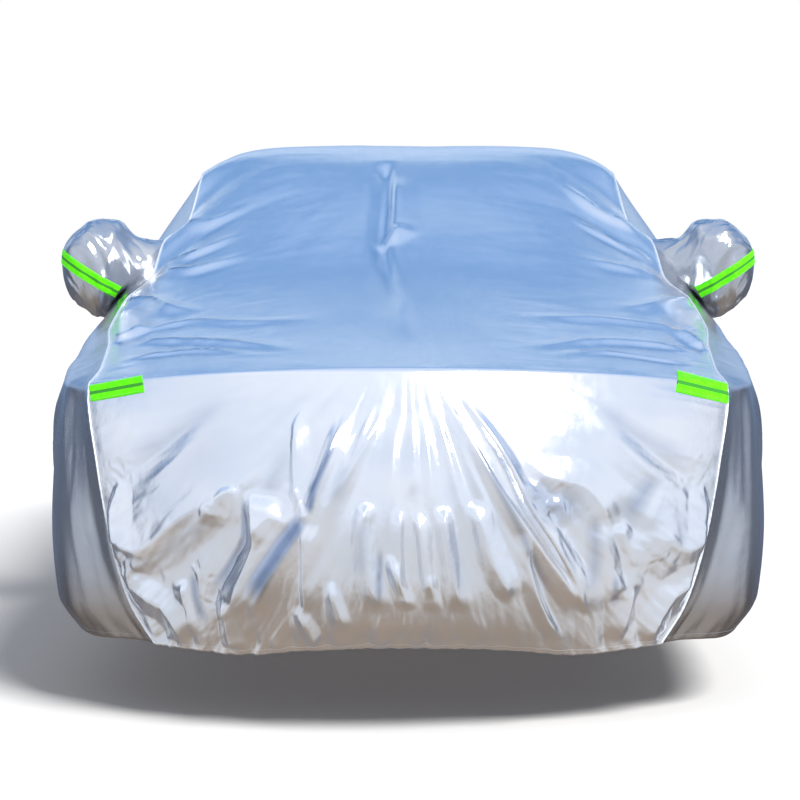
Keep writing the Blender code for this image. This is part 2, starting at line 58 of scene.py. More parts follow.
# %% Sections of the centre panel
CENTRE = {
    # middle_y, middle_z, seam_x, seam_y, seam_z, crown
    "front_hem": (0.150, 0.203, 0.627, 0.320, 0.192, 2.1),
    "under_bumper": (0.060, 0.285, 0.690, 0.345, 0.290, 2.1),
    "bumper": (0.012, 0.400, 0.735, 0.365, 0.425, 2.1),
    "nose": (0.000, 0.515, 0.763, 0.385, 0.555, 2.1),
    "grille": (0.010, 0.610, 0.781, 0.410, 0.655, 2.1),
    "upper_grille": (0.035, 0.710, 0.797, 0.445, 0.735, 2.1),
    "lip": (0.080, 0.805, 0.805, 0.475, 0.790, 2.1),
    "front_edge": (0.125, 0.889, 0.806, 0.505, 0.825, 2.1),
    "bonnet": (0.450, 0.935, 0.790, 0.640, 0.856, 2.6),
    "bonnet_back": (0.800, 0.995, 0.797, 0.880, 0.898, 2.6),
    "windscreen_low": (1.150, 1.070, 0.818, 1.130, 0.937, 2.6),
    "windscreen_mid": (1.500, 1.175, 0.806, 1.420, 0.997, 2.7),
    "pillar_foot": (1.850, 1.295, 0.752, 1.660, 1.056, 2.8),
    "pillar": (2.050, 1.357, 0.735, 1.860, 1.153, 3.0),
    "header": (2.250, 1.407, 0.672, 2.030, 1.216, 4.6),
    "roof_front": (2.500, 1.443, 0.650, 2.370, 1.365, 6.6),
    "roof": (2.800, 1.455, 0.648, 2.800, 1.380, 7.0),
    "roof_back": (3.200, 1.440, 0.648, 3.200, 1.366, 6.0),
    "rear_header": (3.500, 1.400, 0.652, 3.500, 1.312, 4.6),
    "rear_window": (3.850, 1.270, 0.690, 3.880, 1.170, 3.0),
    "boot_front": (4.150, 1.140, 0.735, 4.150, 1.040, 2.8),
    "boot": (4.400, 1.060, 0.765, 4.350, 0.965, 2.6),
    "boot_back": (4.580, 1.010, 0.770, 4.480, 0.930, 2.6),
    "rear_corner": (4.680, 0.930, 0.765, 4.560, 0.870, 2.6),
    "tail_top": (4.720, 0.800, 0.760, 4.580, 0.760, 2.6),
    "tail": (4.725, 0.620, 0.745, 4.580, 0.620, 2.6),
    "rear_bumper": (4.700, 0.450, 0.720, 4.550, 0.460, 2.6),
    "under_tail": (4.650, 0.310, 0.685, 4.500, 0.330, 2.6),
    "rear_hem": (4.550, 0.215, 0.630, 4.420, 0.220, 2.6),
}
SECTIONS = list(CENTRE)
CENTRE_ROWS = np.array(list(CENTRE.values()))
CENTRE_UP = np.concatenate([[0.0], np.cumsum(np.hypot(*np.diff(CENTRE_ROWS[:, :2], axis=0).T))])
UP_OF = dict(zip(SECTIONS, CENTRE_UP))
FRONT_UP = UP_OF["front_edge"]
REAR_UP = UP_OF["rear_corner"]
TOTAL_UP = CENTRE_UP[-1]
ORIGIN = np.array([0.0, 2.800, 1.453])
print(f"the centre panel is {TOTAL_UP:.2f} m long, hem to hem")

# %% Sections of the side panels
SIDE = {
    # shoulder_x, shoulder_z, widest_x, widest_z, tuck_x, tuck_z, hem_x, hem_y, hem_z
    "front_edge": (0.800, 0.770, 0.763, 0.555, 0.690, 0.290, 0.627, 0.320, 0.192),
    "bonnet": (0.882, 0.805, 0.905, 0.490, 0.880, 0.285, 0.825, 0.530, 0.214),
    "bonnet_back": (0.903, 0.838, 0.943, 0.465, 0.928, 0.286, 0.900, 0.850, 0.236),
    "windscreen_low": (0.902, 0.867, 0.950, 0.460, 0.938, 0.290, 0.917, 1.130, 0.240),
    "windscreen_mid": (0.894, 0.905, 0.949, 0.460, 0.936, 0.290, 0.912, 1.440, 0.238),
    "pillar_foot": (0.888, 0.930, 0.945, 0.470, 0.932, 0.290, 0.908, 1.700, 0.232),
    "pillar": (0.885, 0.942, 0.944, 0.480, 0.930, 0.290, 0.905, 1.920, 0.226),
    "header": (0.883, 0.952, 0.942, 0.480, 0.928, 0.290, 0.902, 2.110, 0.222),
    "roof_front": (0.880, 0.960, 0.940, 0.480, 0.928, 0.290, 0.900, 2.430, 0.220),
    "roof": (0.880, 0.965, 0.940, 0.480, 0.928, 0.290, 0.900, 2.780, 0.220),
    "roof_back": (0.882, 0.970, 0.942, 0.490, 0.930, 0.290, 0.902, 3.120, 0.224),
    "rear_header": (0.886, 0.970, 0.945, 0.495, 0.932, 0.290, 0.905, 3.400, 0.230),
    "rear_window": (0.888, 0.965, 0.946, 0.500, 0.932, 0.292, 0.906, 3.750, 0.238),
    "boot_front": (0.882, 0.940, 0.936, 0.505, 0.920, 0.296, 0.895, 4.000, 0.240),
    "boot": (0.860, 0.895, 0.905, 0.515, 0.885, 0.305, 0.850, 4.170, 0.236),
    "boot_back": (0.830, 0.860, 0.860, 0.540, 0.830, 0.315, 0.780, 4.300, 0.230),
    "rear_corner": (0.764, 0.810, 0.745, 0.620, 0.685, 0.330, 0.630, 4.420, 0.220),
}
SIDE_ROWS = np.array(list(SIDE.values()))
SIDE_UP = np.array([UP_OF[name] for name in SIDE])
SIDE_RUN = (0.12, 0.55, 0.85)
SIDE_DROP = 0.95
CORNER_BLEND = 0.50

# %% A curve that never swings past its own points
def smooth_through(knots, rows, at):
    """Smooth curve through the rows, each column on its own, at the given places along the knots."""
    run = np.diff(rows, axis=0) / np.diff(knots)[:, None]
    same_way = run[:-1] * run[1:] > 0
    total = np.where(same_way, run[:-1] + run[1:], 1.0)
    slopes = np.concatenate([run[:1], np.where(same_way, 2 * run[:-1] * run[1:] / total, 0.0), run[-1:]])
    index = np.clip(np.searchsorted(knots, at, side="right") - 1, 0, len(knots) - 2)
    length = (knots[index + 1] - knots[index])[:, None]
    t = (at - knots[index])[:, None] / length
    start = (2 * t**3 - 3 * t**2 + 1) * rows[index] + (t**3 - 2 * t**2 + t) * length * slopes[index]
    end = (3 * t**2 - 2 * t**3) * rows[index + 1] + (t**3 - t**2) * length * slopes[index + 1]
    return start + end


def way_along(points):
    """Distance along a row of points, from the first one."""
    return np.concatenate([[0.0], np.cumsum(np.linalg.norm(np.diff(points, axis=0), axis=1))])


# %% [markdown]
# The edge over the nose is where the cloth turns from the steep front to the nearly flat bonnet. It is pulled
# over a hard edge, so the two halves of the loft meet there at an angle, rounded over less than 2 cm.

# %% Base surface of the centre panel
EDGE = SECTIONS.index("front_edge")
EDGE_ROUNDING = (-0.008, -0.003, 0.003, 0.008)


def sections_at(up):
    """Section values at places up the centre line, with the bend at the front edge kept crisp."""
    total = 0.0
    for shift in EDGE_ROUNDING:
        place = np.clip(up + shift, 0, TOTAL_UP)
        front = smooth_through(CENTRE_UP[: EDGE + 1], CENTRE_ROWS[: EDGE + 1], np.minimum(place, FRONT_UP))
        rear = smooth_through(CENTRE_UP[EDGE:], CENTRE_ROWS[EDGE:], np.maximum(place, FRONT_UP))
        total = total + np.where(place[:, None] < FRONT_UP, front, rear)
    return total / len(EDGE_ROUNDING)


def centre_base(up, across):
    """The smooth centre panel. across runs from -1 at the left seam to 1 at the right seam."""
    middle_y, middle_z, seam_x, seam_y, seam_z, crown = sections_at(up).T
    bend = np.abs(across) ** crown
    y = middle_y + (seam_y - middle_y) * bend
    z = middle_z + (seam_z - middle_z) * bend
    return np.stack([seam_x * across, y, z], axis=-1)


def seam_line(up):
    """The right-hand seam."""
    return centre_base(up, np.ones_like(up))


# %% Base surface of a side panel
def side_rows(up, shares):
    """Rows of the smooth right side panel: for each place up, points from the seam to the hem."""
    seam = seam_line(up)
    row = smooth_through(SIDE_UP, SIDE_ROWS, np.clip(up, SIDE_UP[0], SIDE_UP[-1]))
    stations = [seam]
    for number, run in enumerate(SIDE_RUN):
        y = seam[:, 1] + (row[:, 7] - seam[:, 1]) * run
        stations.append(np.stack([row[:, 2 * number], y, row[:, 2 * number + 1]], axis=1))
    stations.append(row[:, 6:9])
    stations = np.stack(stations, axis=1)
    rows = []
    for section in stations:
        down = way_along(section)
        rows.append(smooth_through(down, section, shares * down[-1]))
    return np.array(rows)


def side_base(up, shares):
    """The smooth right side panel, with its two ends drawn to the seams down the nose and the tail."""
    rows = side_rows(up, shares)
    ends = (
        (FRONT_UP, up - FRONT_UP, FRONT_UP * (1 - shares)),
        (REAR_UP, REAR_UP - up, REAR_UP + (TOTAL_UP - REAR_UP) * shares),
    )
    for end_up, distance, seam_up in ends:
        pull = np.clip(1 - distance / CORNER_BLEND, 0, 1) ** 2
        end_row = side_rows(np.array([end_up]), shares)[0]
        rows += pull[:, None, None] * (seam_line(seam_up) - end_row)[None]
    return rows


# %% [markdown]
# ## Folds
# Coated cloth doesn't fold like wool: it is smooth between sharp crests, like thin foil. So each fold is a
# line with a crest that is almost sharp and two walls, one often much steeper than the other. Small random
# wrinkles are added from gradient noise, turned so that its zero lines become crests.

# %% Gradient noise and crests
NOISE_CELLS = 64
NOISE_HEIGHT = 1.5
WRINKLE_BEND = 0.6
WRINKLE_ROUNDING = 0.0004


def soft_noise(x, y, seed):
    """Smooth random waves, about one unit apart and between -1 and 1."""
    angles = np.random.default_rng(seed).uniform(0, 2 * np.pi, (NOISE_CELLS, NOISE_CELLS))
    column = np.floor(x).astype(int)
    row = np.floor(y).astype(int)
    part_x = x - column
    part_y = y - row

    def from_corner(add_x, add_y):
        angle = angles[(column + add_x) % NOISE_CELLS, (row + add_y) % NOISE_CELLS]
        return np.cos(angle) * (part_x - add_x) + np.sin(angle) * (part_y - add_y)

    ease_x = part_x**3 * (part_x * (part_x * 6 - 15) + 10)
    ease_y = part_y**3 * (part_y * (part_y * 6 - 15) + 10)
    low = from_corner(0, 0) * (1 - ease_x) + from_corner(1, 0) * ease_x
    high = from_corner(0, 1) * (1 - ease_x) + from_corner(1, 1) * ease_x
    return NOISE_HEIGHT * (low * (1 - ease_y) + high * ease_y)


def foil_wrinkles(x, y, seed):
    """Wrinkles with sharp crests between smooth hollows, from 0 in the hollows to 1 on the crests."""
    bent_x = x + WRINKLE_BEND * soft_noise(x * 0.7 + 9.1, y * 0.7, seed + 1)
    bent_y = y + WRINKLE_BEND * soft_noise(x * 0.7, y * 0.7 + 5.3, seed + 2)
    return 1 - np.sqrt(soft_noise(bent_x, bent_y, seed) ** 2 + WRINKLE_ROUNDING)


def ease(value):
    """From 0 to 1 with soft ends."""
    value = np.clip(value, 0, 1)
    return value * value * (3 - 2 * value)


# %% One fold along a line
CREST_RADIUS = 0.0022
FOOT_ROUNDING = 0.06
LINE_STEPS = 18
FOLD_REACH = 1.3
MILLIMETRES = 1000


def fold_along(first, second, left, right, height, power, start_width, head, foot, *points):
    """Lift of one fold, in the unit of height. left and right are the widths of its walls at its end, in
    millimetres like its points, start_width is their share at its start, and head and foot are the shares
    of its length over which it rises and fades."""
    left, right, points = left / MILLIMETRES, right / MILLIMETRES, np.array(points) / MILLIMETRES
    if len(points) > 2:
        knots = way_along(points)
        points = smooth_through(knots, points, np.linspace(0, knots[-1], LINE_STEPS))
    reach = FOLD_REACH * max(left, right) * max(1.0, start_width)
    low = points.min(axis=0) - reach
    high = points.max(axis=0) + reach
    near = (first > low[0]) & (first < high[0]) & (second > low[1]) & (second < high[1])
    lift = np.zeros_like(first)
    if not near.any():
        return lift
    place = np.stack([first[near], second[near]], axis=1)
    knots = way_along(points)
    best = np.full(len(place), np.inf)
    side = np.zeros(len(place))
    along = np.zeros(len(place))
    for start, end, begun in zip(points, points[1:], knots):
        run = end - start
        length = np.hypot(*run)
        offset = place - start
        part = np.clip(offset @ run / length**2, 0, 1)
        away = offset - part[:, None] * run
        distance = np.hypot(away[:, 0], away[:, 1])
        closer = distance < best
        best = np.where(closer, distance, best)
        turn = run[0] * offset[:, 1] - run[1] * offset[:, 0]
        side = np.where(closer, turn, side)
        along = np.where(closer, (begun + part * length) / knots[-1], along)
    width = np.where(side > 0, right, left) * (start_width + (1 - start_width) * along)
    crest = np.sqrt(best**2 + CREST_RADIUS**2) - CREST_RADIUS
    wall = 1 - crest / width
    wall = (0.5 * (wall + np.sqrt(wall**2 + FOOT_ROUNDING**2))) ** power
    fade = ease(along / max(head, 1e-6)) * ease((1 - along) / max(foot, 1e-6))
    lift[near] = height * wall * fade
    return lift


def folds_lift(first, second, folds):
    """Lift of a whole table of folds."""
    total = np.zeros_like(first)
    for fold in folds.values():
        total += fold_along(first, second, *fold)
    return total


# %% [markdown]
# The folds of the front are placed one by one, each by the points of its crest: how far across from the middle
# and how far up from the hem, in millimetres like its width and height. Some are ridges with two even walls.
# Others are lips or pleats, with one wall so steep that it mirrors the ground or the side. They start at the
# edge over the nose and fan out to the hem.

# %% The folds of the front
FRONT_FOLDS = {
    # left wall, right wall, height, power, start width, head fade, foot fade, points (across, up)
    "left_band": (60, 44, -5, 1.8, 0.7, 0.45, 0.4, (-430, 680), (-510, 610), (-580, 530), (-670, 440),
        (-760, 360)),
    "left_band_edge": (34, 60, 4.5, 1.6, 0.8, 0.4, 0.4, (-450, 620), (-550, 500), (-660, 380)),
    "right_band": (44, 60, -5, 1.8, 0.7, 0.45, 0.4, (460, 670), (530, 580), (590, 510), (650, 450), (760, 350)),
    "right_band_edge": (60, 34, 4.5, 1.6, 0.8, 0.4, 0.4, (440, 640), (540, 500), (660, 380)),
    "left_lip": (75, 140, 26, 1.15, 0.9, 0.02, 0.45, (-760, 285), (-745, 281), (-662, 257), (-546, 341),
        (-481, 387), (-409, 434), (-348, 513), (-283, 600)),
    "lip_curl": (30, 30, 8, 1.2, 1.0, 0.3, 0.4, (-488, 385), (-460, 372), (-430, 373)),
    "tooth": (46, 110, 25, 1.0, 0.5, 0.15, 0.35, (-368, 440), (-354, 333), (-376, 259), (-411, 180),
        (-458, 90)),
    "tooth_edge": (60, 12, 8, 1.0, 0.8, 0.1, 0.4, (-404, 445), (-396, 333), (-421, 265)),
    "tongue": (40, 50, 12, 1.1, 1.0, 0.3, 0.3, (-385, 325), (-345, 352), (-319, 380), (-291, 370), (-265, 345)),
    "strip": (36, 85, 22, 1.0, 0.45, 0.25, 0.3, (-147, 660), (-190, 523), (-233, 390), (-310, 254),
        (-395, 110)),
    "strip_left": (45, 12, 3, 1.0, 0.8, 0.2, 0.3, (-250, 375), (-340, 248), (-425, 110)),
    "bright": (20, 60, 11, 1.1, 0.3, 0.6, 0.25, (-217, 690), (-267, 602), (-267, 486), (-240, 385)),
    "bright_fold": (22, 12, 8, 1.0, 0.8, 0.3, 0.2, (-274, 464), (-255, 415), (-236, 375)),
    "upright": (11, 55, 14, 1.0, 0.8, 0.2, 0.4, (-237, 378), (-241, 280), (-246, 120)),
    "spike_left": (40, 14, 14, 1.0, 0.7, 0.2, 0.4, (-548, 210), (-533, 143), (-510, 40)),
    "low_left": (50, 45, 16, 1.05, 1.0, 0.1, 0.3, (-735, 175), (-710, 173), (-661, 160), (-583, 114),
        (-530, 0)),
    "zig_one": (20, 22, 8, 1.0, 1.0, 0.2, 0.3, (-735, 240), (-695, 227), (-688, 170)),
    "zig_two": (24, 20, 8, 1.0, 1.0, 0.3, 0.3, (-644, 240), (-673, 200), (-640, 175)),
    "fan_one": (28, 38, 8.5, 1.2, 0.2, 0.35, 0.4, (-55, 660), (-119, 526), (-161, 449), (-210, 370)),
    "fan_two": (22, 24, 6, 1.2, 0.2, 0.3, 0.4, (-78, 670), (-122, 550), (-190, 420)),
    "fan_three": (30, 24, 6, 1.2, 0.6, 0.4, 0.4, (-28, 660), (-40, 500), (-50, 300)),
    "fan_four": (26, 26, 5.5, 1.2, 0.6, 0.4, 0.3, (10, 650), (12, 500), (10, 420)),
    "fan_five": (22, 30, 7, 1.2, 0.6, 0.4, 0.4, (35, 650), (50, 500), (60, 330)),
    "fan_six": (28, 30, 7.5, 1.2, 0.2, 0.4, 0.3, (60, 670), (105, 500), (150, 330)),
    "fan_seven": (30, 34, 8, 1.2, 0.2, 0.4, 0.3, (75, 680), (150, 500), (215, 350)),
    "spike_one": (40, 34, 20, 1.0, 0.6, 0.15, 0.25, (-88, 430), (-107, 373), (-99, 276), (-62, 150)),
    "spike_two": (26, 22, 14, 1.0, 0.6, 0.3, 0.25, (-48, 310), (-22, 239), (4, 160)),
    "wedge_left": (30, 14, 10, 1.0, 0.7, 0.2, 0.3, (-16, 415), (-22, 326), (-12, 200)),
    "wedge_right": (14, 36, 14, 1.0, 0.7, 0.2, 0.3, (18, 410), (30, 338), (48, 190)),
    "spike_three": (32, 34, 20, 1.0, 0.6, 0.15, 0.25, (82, 420), (86, 360), (103, 252), (130, 150)),
    "spike_four": (30, 55, 18, 1.0, 0.6, 0.2, 0.2, (150, 430), (166, 378), (179, 323), (207, 257), (252, 180)),
    "twin_one": (45, 14, 22, 1.0, 0.25, 0.3, 0.15, (80, 700), (144, 575), (203, 466), (267, 368), (314, 299),
        (371, 220), (435, 120)),
    "twin_two": (14, 55, 21, 1.0, 0.25, 0.3, 0.15, (118, 700), (184, 595), (241, 494), (278, 410), (332, 328),
        (385, 235), (445, 120)),
    "thin": (30, 14, 14, 1.0, 0.8, 0.15, 0.25, (271, 350), (280, 279), (318, 160), (370, 50)),
    "arc": (60, 90, 15, 1.05, 0.4, 0.45, 0.2, (263, 560), (324, 476), (410, 442), (452, 397), (500, 335)),
    "finger": (60, 50, 11, 1.0, 0.7, 0.2, 0.4, (466, 360), (472, 267), (482, 100)),
    "finger_right": (24, 36, 8, 1.0, 0.7, 0.2, 0.4, (498, 345), (535, 270), (555, 190)),
    "crumple_one": (22, 22, 9, 1.0, 1.0, 0.3, 0.3, (274, 470), (313, 424), (345, 380)),
    "crumple_two": (22, 20, 8, 1.0, 1.0, 0.3, 0.3, (330, 430), (365, 395), (372, 350)),
    "grey_streak": (70, 55, 7, 1.3, 1.0, 0.4, 0.4, (625, 410), (595, 360), (560, 310)),
    "right_lip": (130, 85, 24, 1.15, 0.9, 0.02, 0.4, (760, 280), (743, 276), (672, 257), (625, 281),
        (545, 330)),
    "tan_right": (45, 50, 16, 1.05, 1.0, 0.1, 0.3, (740, 178), (711, 175), (657, 155), (615, 101), (565, 0)),
    "facet_right": (40, 16, 12, 1.0, 0.8, 0.2, 0.4, (548, 190), (530, 120), (505, 30)),
    "shelf": (30, 40, 8, 1.1, 1.0, 0.3, 0.3, (470, 197), (520, 192), (580, 188)),
    "low_one": (30, 40, 14, 1.1, 0.6, 0.3, 0.2, (-445, 180), (-425, 20)),
    "low_two": (40, 22, 14, 1.05, 0.6, 0.3, 0.4, (-185, 240), (-145, 90)),
    "low_three": (30, 30, 12, 1.1, 0.6, 0.3, 0.3, (-262, 170), (-212, 20)),
    "low_four": (30, 22, 10, 1.0, 0.6, 0.3, 0.4, (50, 260), (65, 150)),
}

# %% [markdown]
# The cloth round a deep fold mirrors the fold beside it, darker and bluer than the haze in front. That
# reflection is painted into the colour: streaks of painted reflection are laid along the folds in the same way,
# as a value from 0 to 1 that the finish mixes in.

# %% The painted reflections of the front
PAINTED_REFLECTIONS = {
    # left wall, right wall, strength, power, start width, head fade, foot fade, points (across, up)
    "strip_top": (10, 10, 1, 0.7, 0.5, 0.3, 0.1, (-152, 632), (-190, 527), (-222, 450), (-236, 388)),
    "strip": (30, 22, 1.1, 0.6, 0.7, 0.15, 0.3, (-240, 392), (-300, 310), (-347, 238), (-386, 162)),
    "tooth": (12, 30, 0.65, 0.7, 0.4, 0.15, 0.3, (-391, 425), (-391, 340), (-424, 262), (-487, 170)),
    "low_curve": (14, 16, 0.65, 0.8, 0.7, 0.2, 0.3, (-522, 229), (-515, 162), (-492, 87)),
    "left_band": (50, 50, 0.26, 1.0, 0.6, 0.3, 0.3, (-420, 690), (-518, 606), (-604, 530), (-705, 465)),
    "blue_plane": (110, 110, 0.2, 0.8, 0.8, 0.4, 0.1, (-430, 620), (-530, 470), (-604, 340)),
    "left_streak": (30, 30, 0.24, 1.0, 0.8, 0.4, 0.3, (-270, 561), (-347, 418)),
    "fan_streak": (20, 26, 0.26, 1.0, 0.8, 0.4, 0.3, (-136, 527), (-183, 418)),
    "spike_line": (12, 7, 0.6, 0.9, 0.8, 0.3, 0.3, (-64, 330), (-66, 260), (-68, 170)),
    "spike_shade": (22, 18, 0.25, 1.0, 0.8, 0.3, 0.3, (-100, 400), (-110, 330), (-112, 240)),
    "spike_shade_two": (16, 22, 0.3, 1.0, 0.8, 0.3, 0.3, (90, 395), (104, 320), (128, 200)),
    "twin": (11, 16, 0.5, 0.9, 0.6, 0.4, 0.2, (92, 690), (150, 587), (216, 450), (279, 324), (349, 160)),
    "patch": (60, 55, 0.45, 0.8, 0.8, 0.2, 0.3, (279, 475), (349, 400), (433, 427)),
    "finger": (34, 26, 0.4, 0.9, 0.6, 0.2, 0.4, (446, 385), (450, 262), (433, 170)),
    "grey_streak": (40, 34, 0.5, 0.9, 0.8, 0.3, 0.4, (612, 450), (560, 388), (510, 335)),
    "right_band": (34, 45, 0.28, 1.0, 0.6, 0.3, 0.3, (443, 684), (527, 587), (607, 520), (707, 450)),
    "right_low": (12, 12, 0.5, 0.9, 0.8, 0.3, 0.3, (503, 230), (501, 140)),
    "lip_shade": (50, 12, 0.16, 0.8, 0.8, 0.1, 0.3, (-740, 262), (-662, 235), (-560, 300), (-440, 385)),
}

# %% [markdown]
# Over the windscreen the cloth is pulled from seam to seam, so long shallow wrinkles run in from both seams.

# %% The wrinkles of the windscreen
SCREEN_FOLDS = {
    # left wall, right wall, height, power, start width, head fade, foot fade, points (across, up)
    "windscreen_crease": (60, 30, -14, 1.1, 0.8, 0.1, 0.4, (-63, 2940), (-68, 2500), (-75, 2190), (-54, 1880),
        (-43, 1570), (-32, 1300)),
    "windscreen_edge": (12, 80, 9, 1.1, 0.8, 0.3, 0.3, (-35, 2750), (-35, 2400), (-40, 2120)),
    "windscreen_tuck": (50, 50, 9, 1.1, 0.8, 0.3, 0.4, (-75, 2100), (-30, 2200), (10, 2260)),
    "bonnet_crease": (40, 30, 4, 1.3, 0.8, 0.4, 0.4, (-20, 1750), (-10, 1400), (5, 1050)),
    "pillar_left": (70, 60, 10, 1.3, 0.6, 0.2, 0.5, (-720, 2500), (-600, 2330), (-470, 2420)),
    "pillar_left_two": (60, 60, 8, 1.3, 0.6, 0.2, 0.5, (-720, 2300), (-580, 2120), (-420, 2150)),
    "pillar_left_top": (50, 50, 6, 1.3, 0.6, 0.2, 0.5, (-680, 2800), (-580, 2640), (-450, 2620)),
    "corner_left": (60, 50, 12, 1.2, 0.6, 0.1, 0.4, (-800, 2060), (-720, 1945), (-640, 1720), (-550, 1600)),
    "bonnet_left": (70, 60, 6, 1.3, 0.6, 0.2, 0.5, (-760, 1500), (-600, 1500), (-420, 1390), (-200, 1350)),
    "bonnet_left_two": (50, 70, 7, 1.3, 0.6, 0.2, 0.4, (-740, 1360), (-510, 1190), (-260, 990)),
    "bonnet_left_three": (40, 50, 5, 1.3, 0.6, 0.2, 0.5, (-740, 1120), (-520, 1070), (-360, 950)),
    "patch_left": (40, 40, 12, 1.1, 0.8, 0.2, 0.3, (-790, 1500), (-750, 1460), (-700, 1560)),
    "pillar_right": (50, 50, 9, 1.3, 0.6, 0.2, 0.5, (700, 2750), (580, 2700), (460, 2860)),
    "pillar_right_two": (60, 60, 8, 1.3, 0.6, 0.2, 0.5, (730, 2620), (600, 2500), (440, 2570)),
    "pillar_right_three": (60, 60, 7, 1.3, 0.6, 0.2, 0.5, (740, 2320), (620, 2160), (450, 2100)),
    "corner_right": (50, 60, 12, 1.2, 0.6, 0.1, 0.4, (800, 2120), (730, 1955), (660, 1760), (560, 1620)),
    "bonnet_right": (60, 70, 6, 1.3, 0.6, 0.2, 0.5, (760, 1600), (600, 1500), (450, 1450), (250, 1400)),
    "bonnet_right_two": (70, 50, 7, 1.3, 0.6, 0.2, 0.4, (760, 1300), (490, 1180), (280, 1000)),
    "bonnet_right_three": (50, 40, 5, 1.3, 0.6, 0.2, 0.5, (750, 1050), (500, 1040), (340, 930)),
    "patch_right": (40, 40, 12, 1.1, 0.8, 0.2, 0.3, (790, 1340), (750, 1450), (720, 1560)),
}

# %% [markdown]
# The elastic in the hem draws the cloth together, so the lowest hand's breadth is gathered: short pleats at
# the hem that join into wider ones higher up. They follow the hem all round. Where folds run together or meet
# a seam, the coating is crumpled into small sharp facets.

# %% Gathers and small wrinkles
GATHER, GATHER_HEIGHT, GATHER_REACH = 0.048, 0.0075, 0.055
PLEAT, PLEAT_HEIGHT, PLEAT_REACH = 0.085, 0.016, 0.13
PUCKER, PUCKER_HEIGHT, PUCKER_REACH = 0.028, 0.0028, 0.045
MIDDLE = 0.6  # about the mean of a row of crests: taken off, it leaves the cloth where it was
FRONT_STRENGTH = 1.25
SCREEN_STRENGTH = 1.7
CRUMPLES = {
    # across, up, half width, half height, facet size, height
    "left_seam": (-0.71, 0.42, 0.07, 0.08, 0.024, 0.0018),
    "left_bright": (-0.49, 0.22, 0.06, 0.13, 0.024, 0.0050),
    "left_corner": (-0.69, 0.21, 0.06, 0.06, 0.024, 0.0045),
    "left_wedge": (-0.26, 0.43, 0.04, 0.06, 0.018, 0.0030),
    "left_tongue": (-0.44, 0.38, 0.05, 0.05, 0.024, 0.0030),
    "right_patch": (0.34, 0.42, 0.09, 0.07, 0.024, 0.0045),
    "right_finger": (0.40, 0.38, 0.07, 0.06, 0.018, 0.0030),
    "right_low": (0.60, 0.24, 0.07, 0.08, 0.022, 0.0045),
    "right_seam": (0.71, 0.42, 0.07, 0.08, 0.024, 0.0018),
    "right_corner": (0.70, 0.21, 0.05, 0.06, 0.024, 0.0045),
}
CRUMPLE_SEED = 210
FAN_CENTRE_UP = 0.95
FAN_STEP = 0.05
FAN_WRINKLES = (
    # height, wrinkles in a step of the fan, shift, length, seed, upper end, fade
    (0.0034, 0.45, 3.0, 0.60, 13, 2.00, 0.35),
    (0.0030, 0.90, 0.0, 0.24, 11, 0.60, 0.35),
    (0.0018, 1.90, 0.0, 0.10, 21, 0.60, 0.35),
    (0.0014, 3.60, 0.0, 0.07, 23, 0.45, 0.15),
)


def hem_gathers(along, above, seed):
    """Lift of the gathers at a hem: along is the way along the hem, above the height over it."""
    drift = 0.35 * soft_noise(along * 4.0, above * 1.5, seed)
    short = np.abs(np.sin(np.pi * (along / GATHER + drift))) - MIDDLE
    wide = np.abs(np.sin(np.pi * (along / PLEAT + 1.4 * drift + 0.3))) - MIDDLE
    strength = 0.75 + 0.5 * soft_noise(along * 3.1 + 7.0, above * 0.0 + 0.5, seed + 5)
    height = np.clip(above, 0, None)
    near_hem = np.exp(-height / GATHER_REACH) * (0.35 + 0.65 * ease(above / 0.025))
    higher = np.exp(-height / PLEAT_REACH) * ease(above / 0.05)
    return strength * (GATHER_HEIGHT * short * near_hem + PLEAT_HEIGHT * wide * higher)


def seam_puckers(along, away, seed):
    """Short wrinkles that run off a seam: along is the way along it, away the distance from it."""
    run = soft_noise(along / PUCKER, away / 0.16, seed) + 0.5 * soft_noise(along / 0.055, away / 0.25, seed + 3)
    patchy = ease(0.5 + 0.9 * soft_noise(along / 0.22, away * 0.0 + 0.5, seed + 6))
    return PUCKER_HEIGHT * run * patchy * ease(away / 0.012) * np.exp(-away / PUCKER_REACH)


def crumples_lift(x, up):
    """Patches of small facets on the front."""
    total = np.zeros_like(x)
    for number, (across, middle, half_width, half_height, size, height) in enumerate(CRUMPLES.values()):
        reach = np.hypot((x - across) / half_width, (up - middle) / half_height)
        patch = ease(1.3 * (1 - reach))
        near = patch > 0
        facets = foil_wrinkles(x[near] / size, up[near] / (1.4 * size), CRUMPLE_SEED + number)
        total[near] += height * patch[near] * (facets - 0.7)
    return total


def front_lift(x, up):
    """Lift of the front: its folds, its crumples and finer and finer wrinkles in a fan below the edge."""
    lift = FRONT_STRENGTH * folds_lift(x, up, FRONT_FOLDS) / MILLIMETRES + crumples_lift(x, up)
    fan = np.arctan2(x, FAN_CENTRE_UP - up) / FAN_STEP
    reach = np.hypot(x, FAN_CENTRE_UP - up)
    front = ease((FRONT_UP - up) / 0.10)
    for height, narrow, shift, length, seed, upper_end, fade in FAN_WRINKLES:
        wrinkles = foil_wrinkles(fan * narrow + shift, reach / length, seed) - MIDDLE
        lift += front * ease((upper_end - up) / fade) * height * wrinkles
    return lift + FRONT_STRENGTH * hem_gathers(x, up, 31) * ease((0.5 - up) / 0.2)


def top_lift(x, up):
    """Lift behind the front edge: long wrinkles, and short ones across them towards the seams."""
    lift = 0.0042 * soft_noise(x / 0.30, up / 0.70, 41)
    lift += 0.0016 * (foil_wrinkles(x / 0.13, up / 0.50, 43) - MIDDLE)
    lift += 0.0016 * (foil_wrinkles(x / 0.30, up / 0.11, 47) - MIDDLE) * ease(np.abs(x) / 0.5)
    folds = SCREEN_STRENGTH * folds_lift(x, up, SCREEN_FOLDS) / MILLIMETRES
    return lift * ease((up - FRONT_UP) / 0.06) + folds


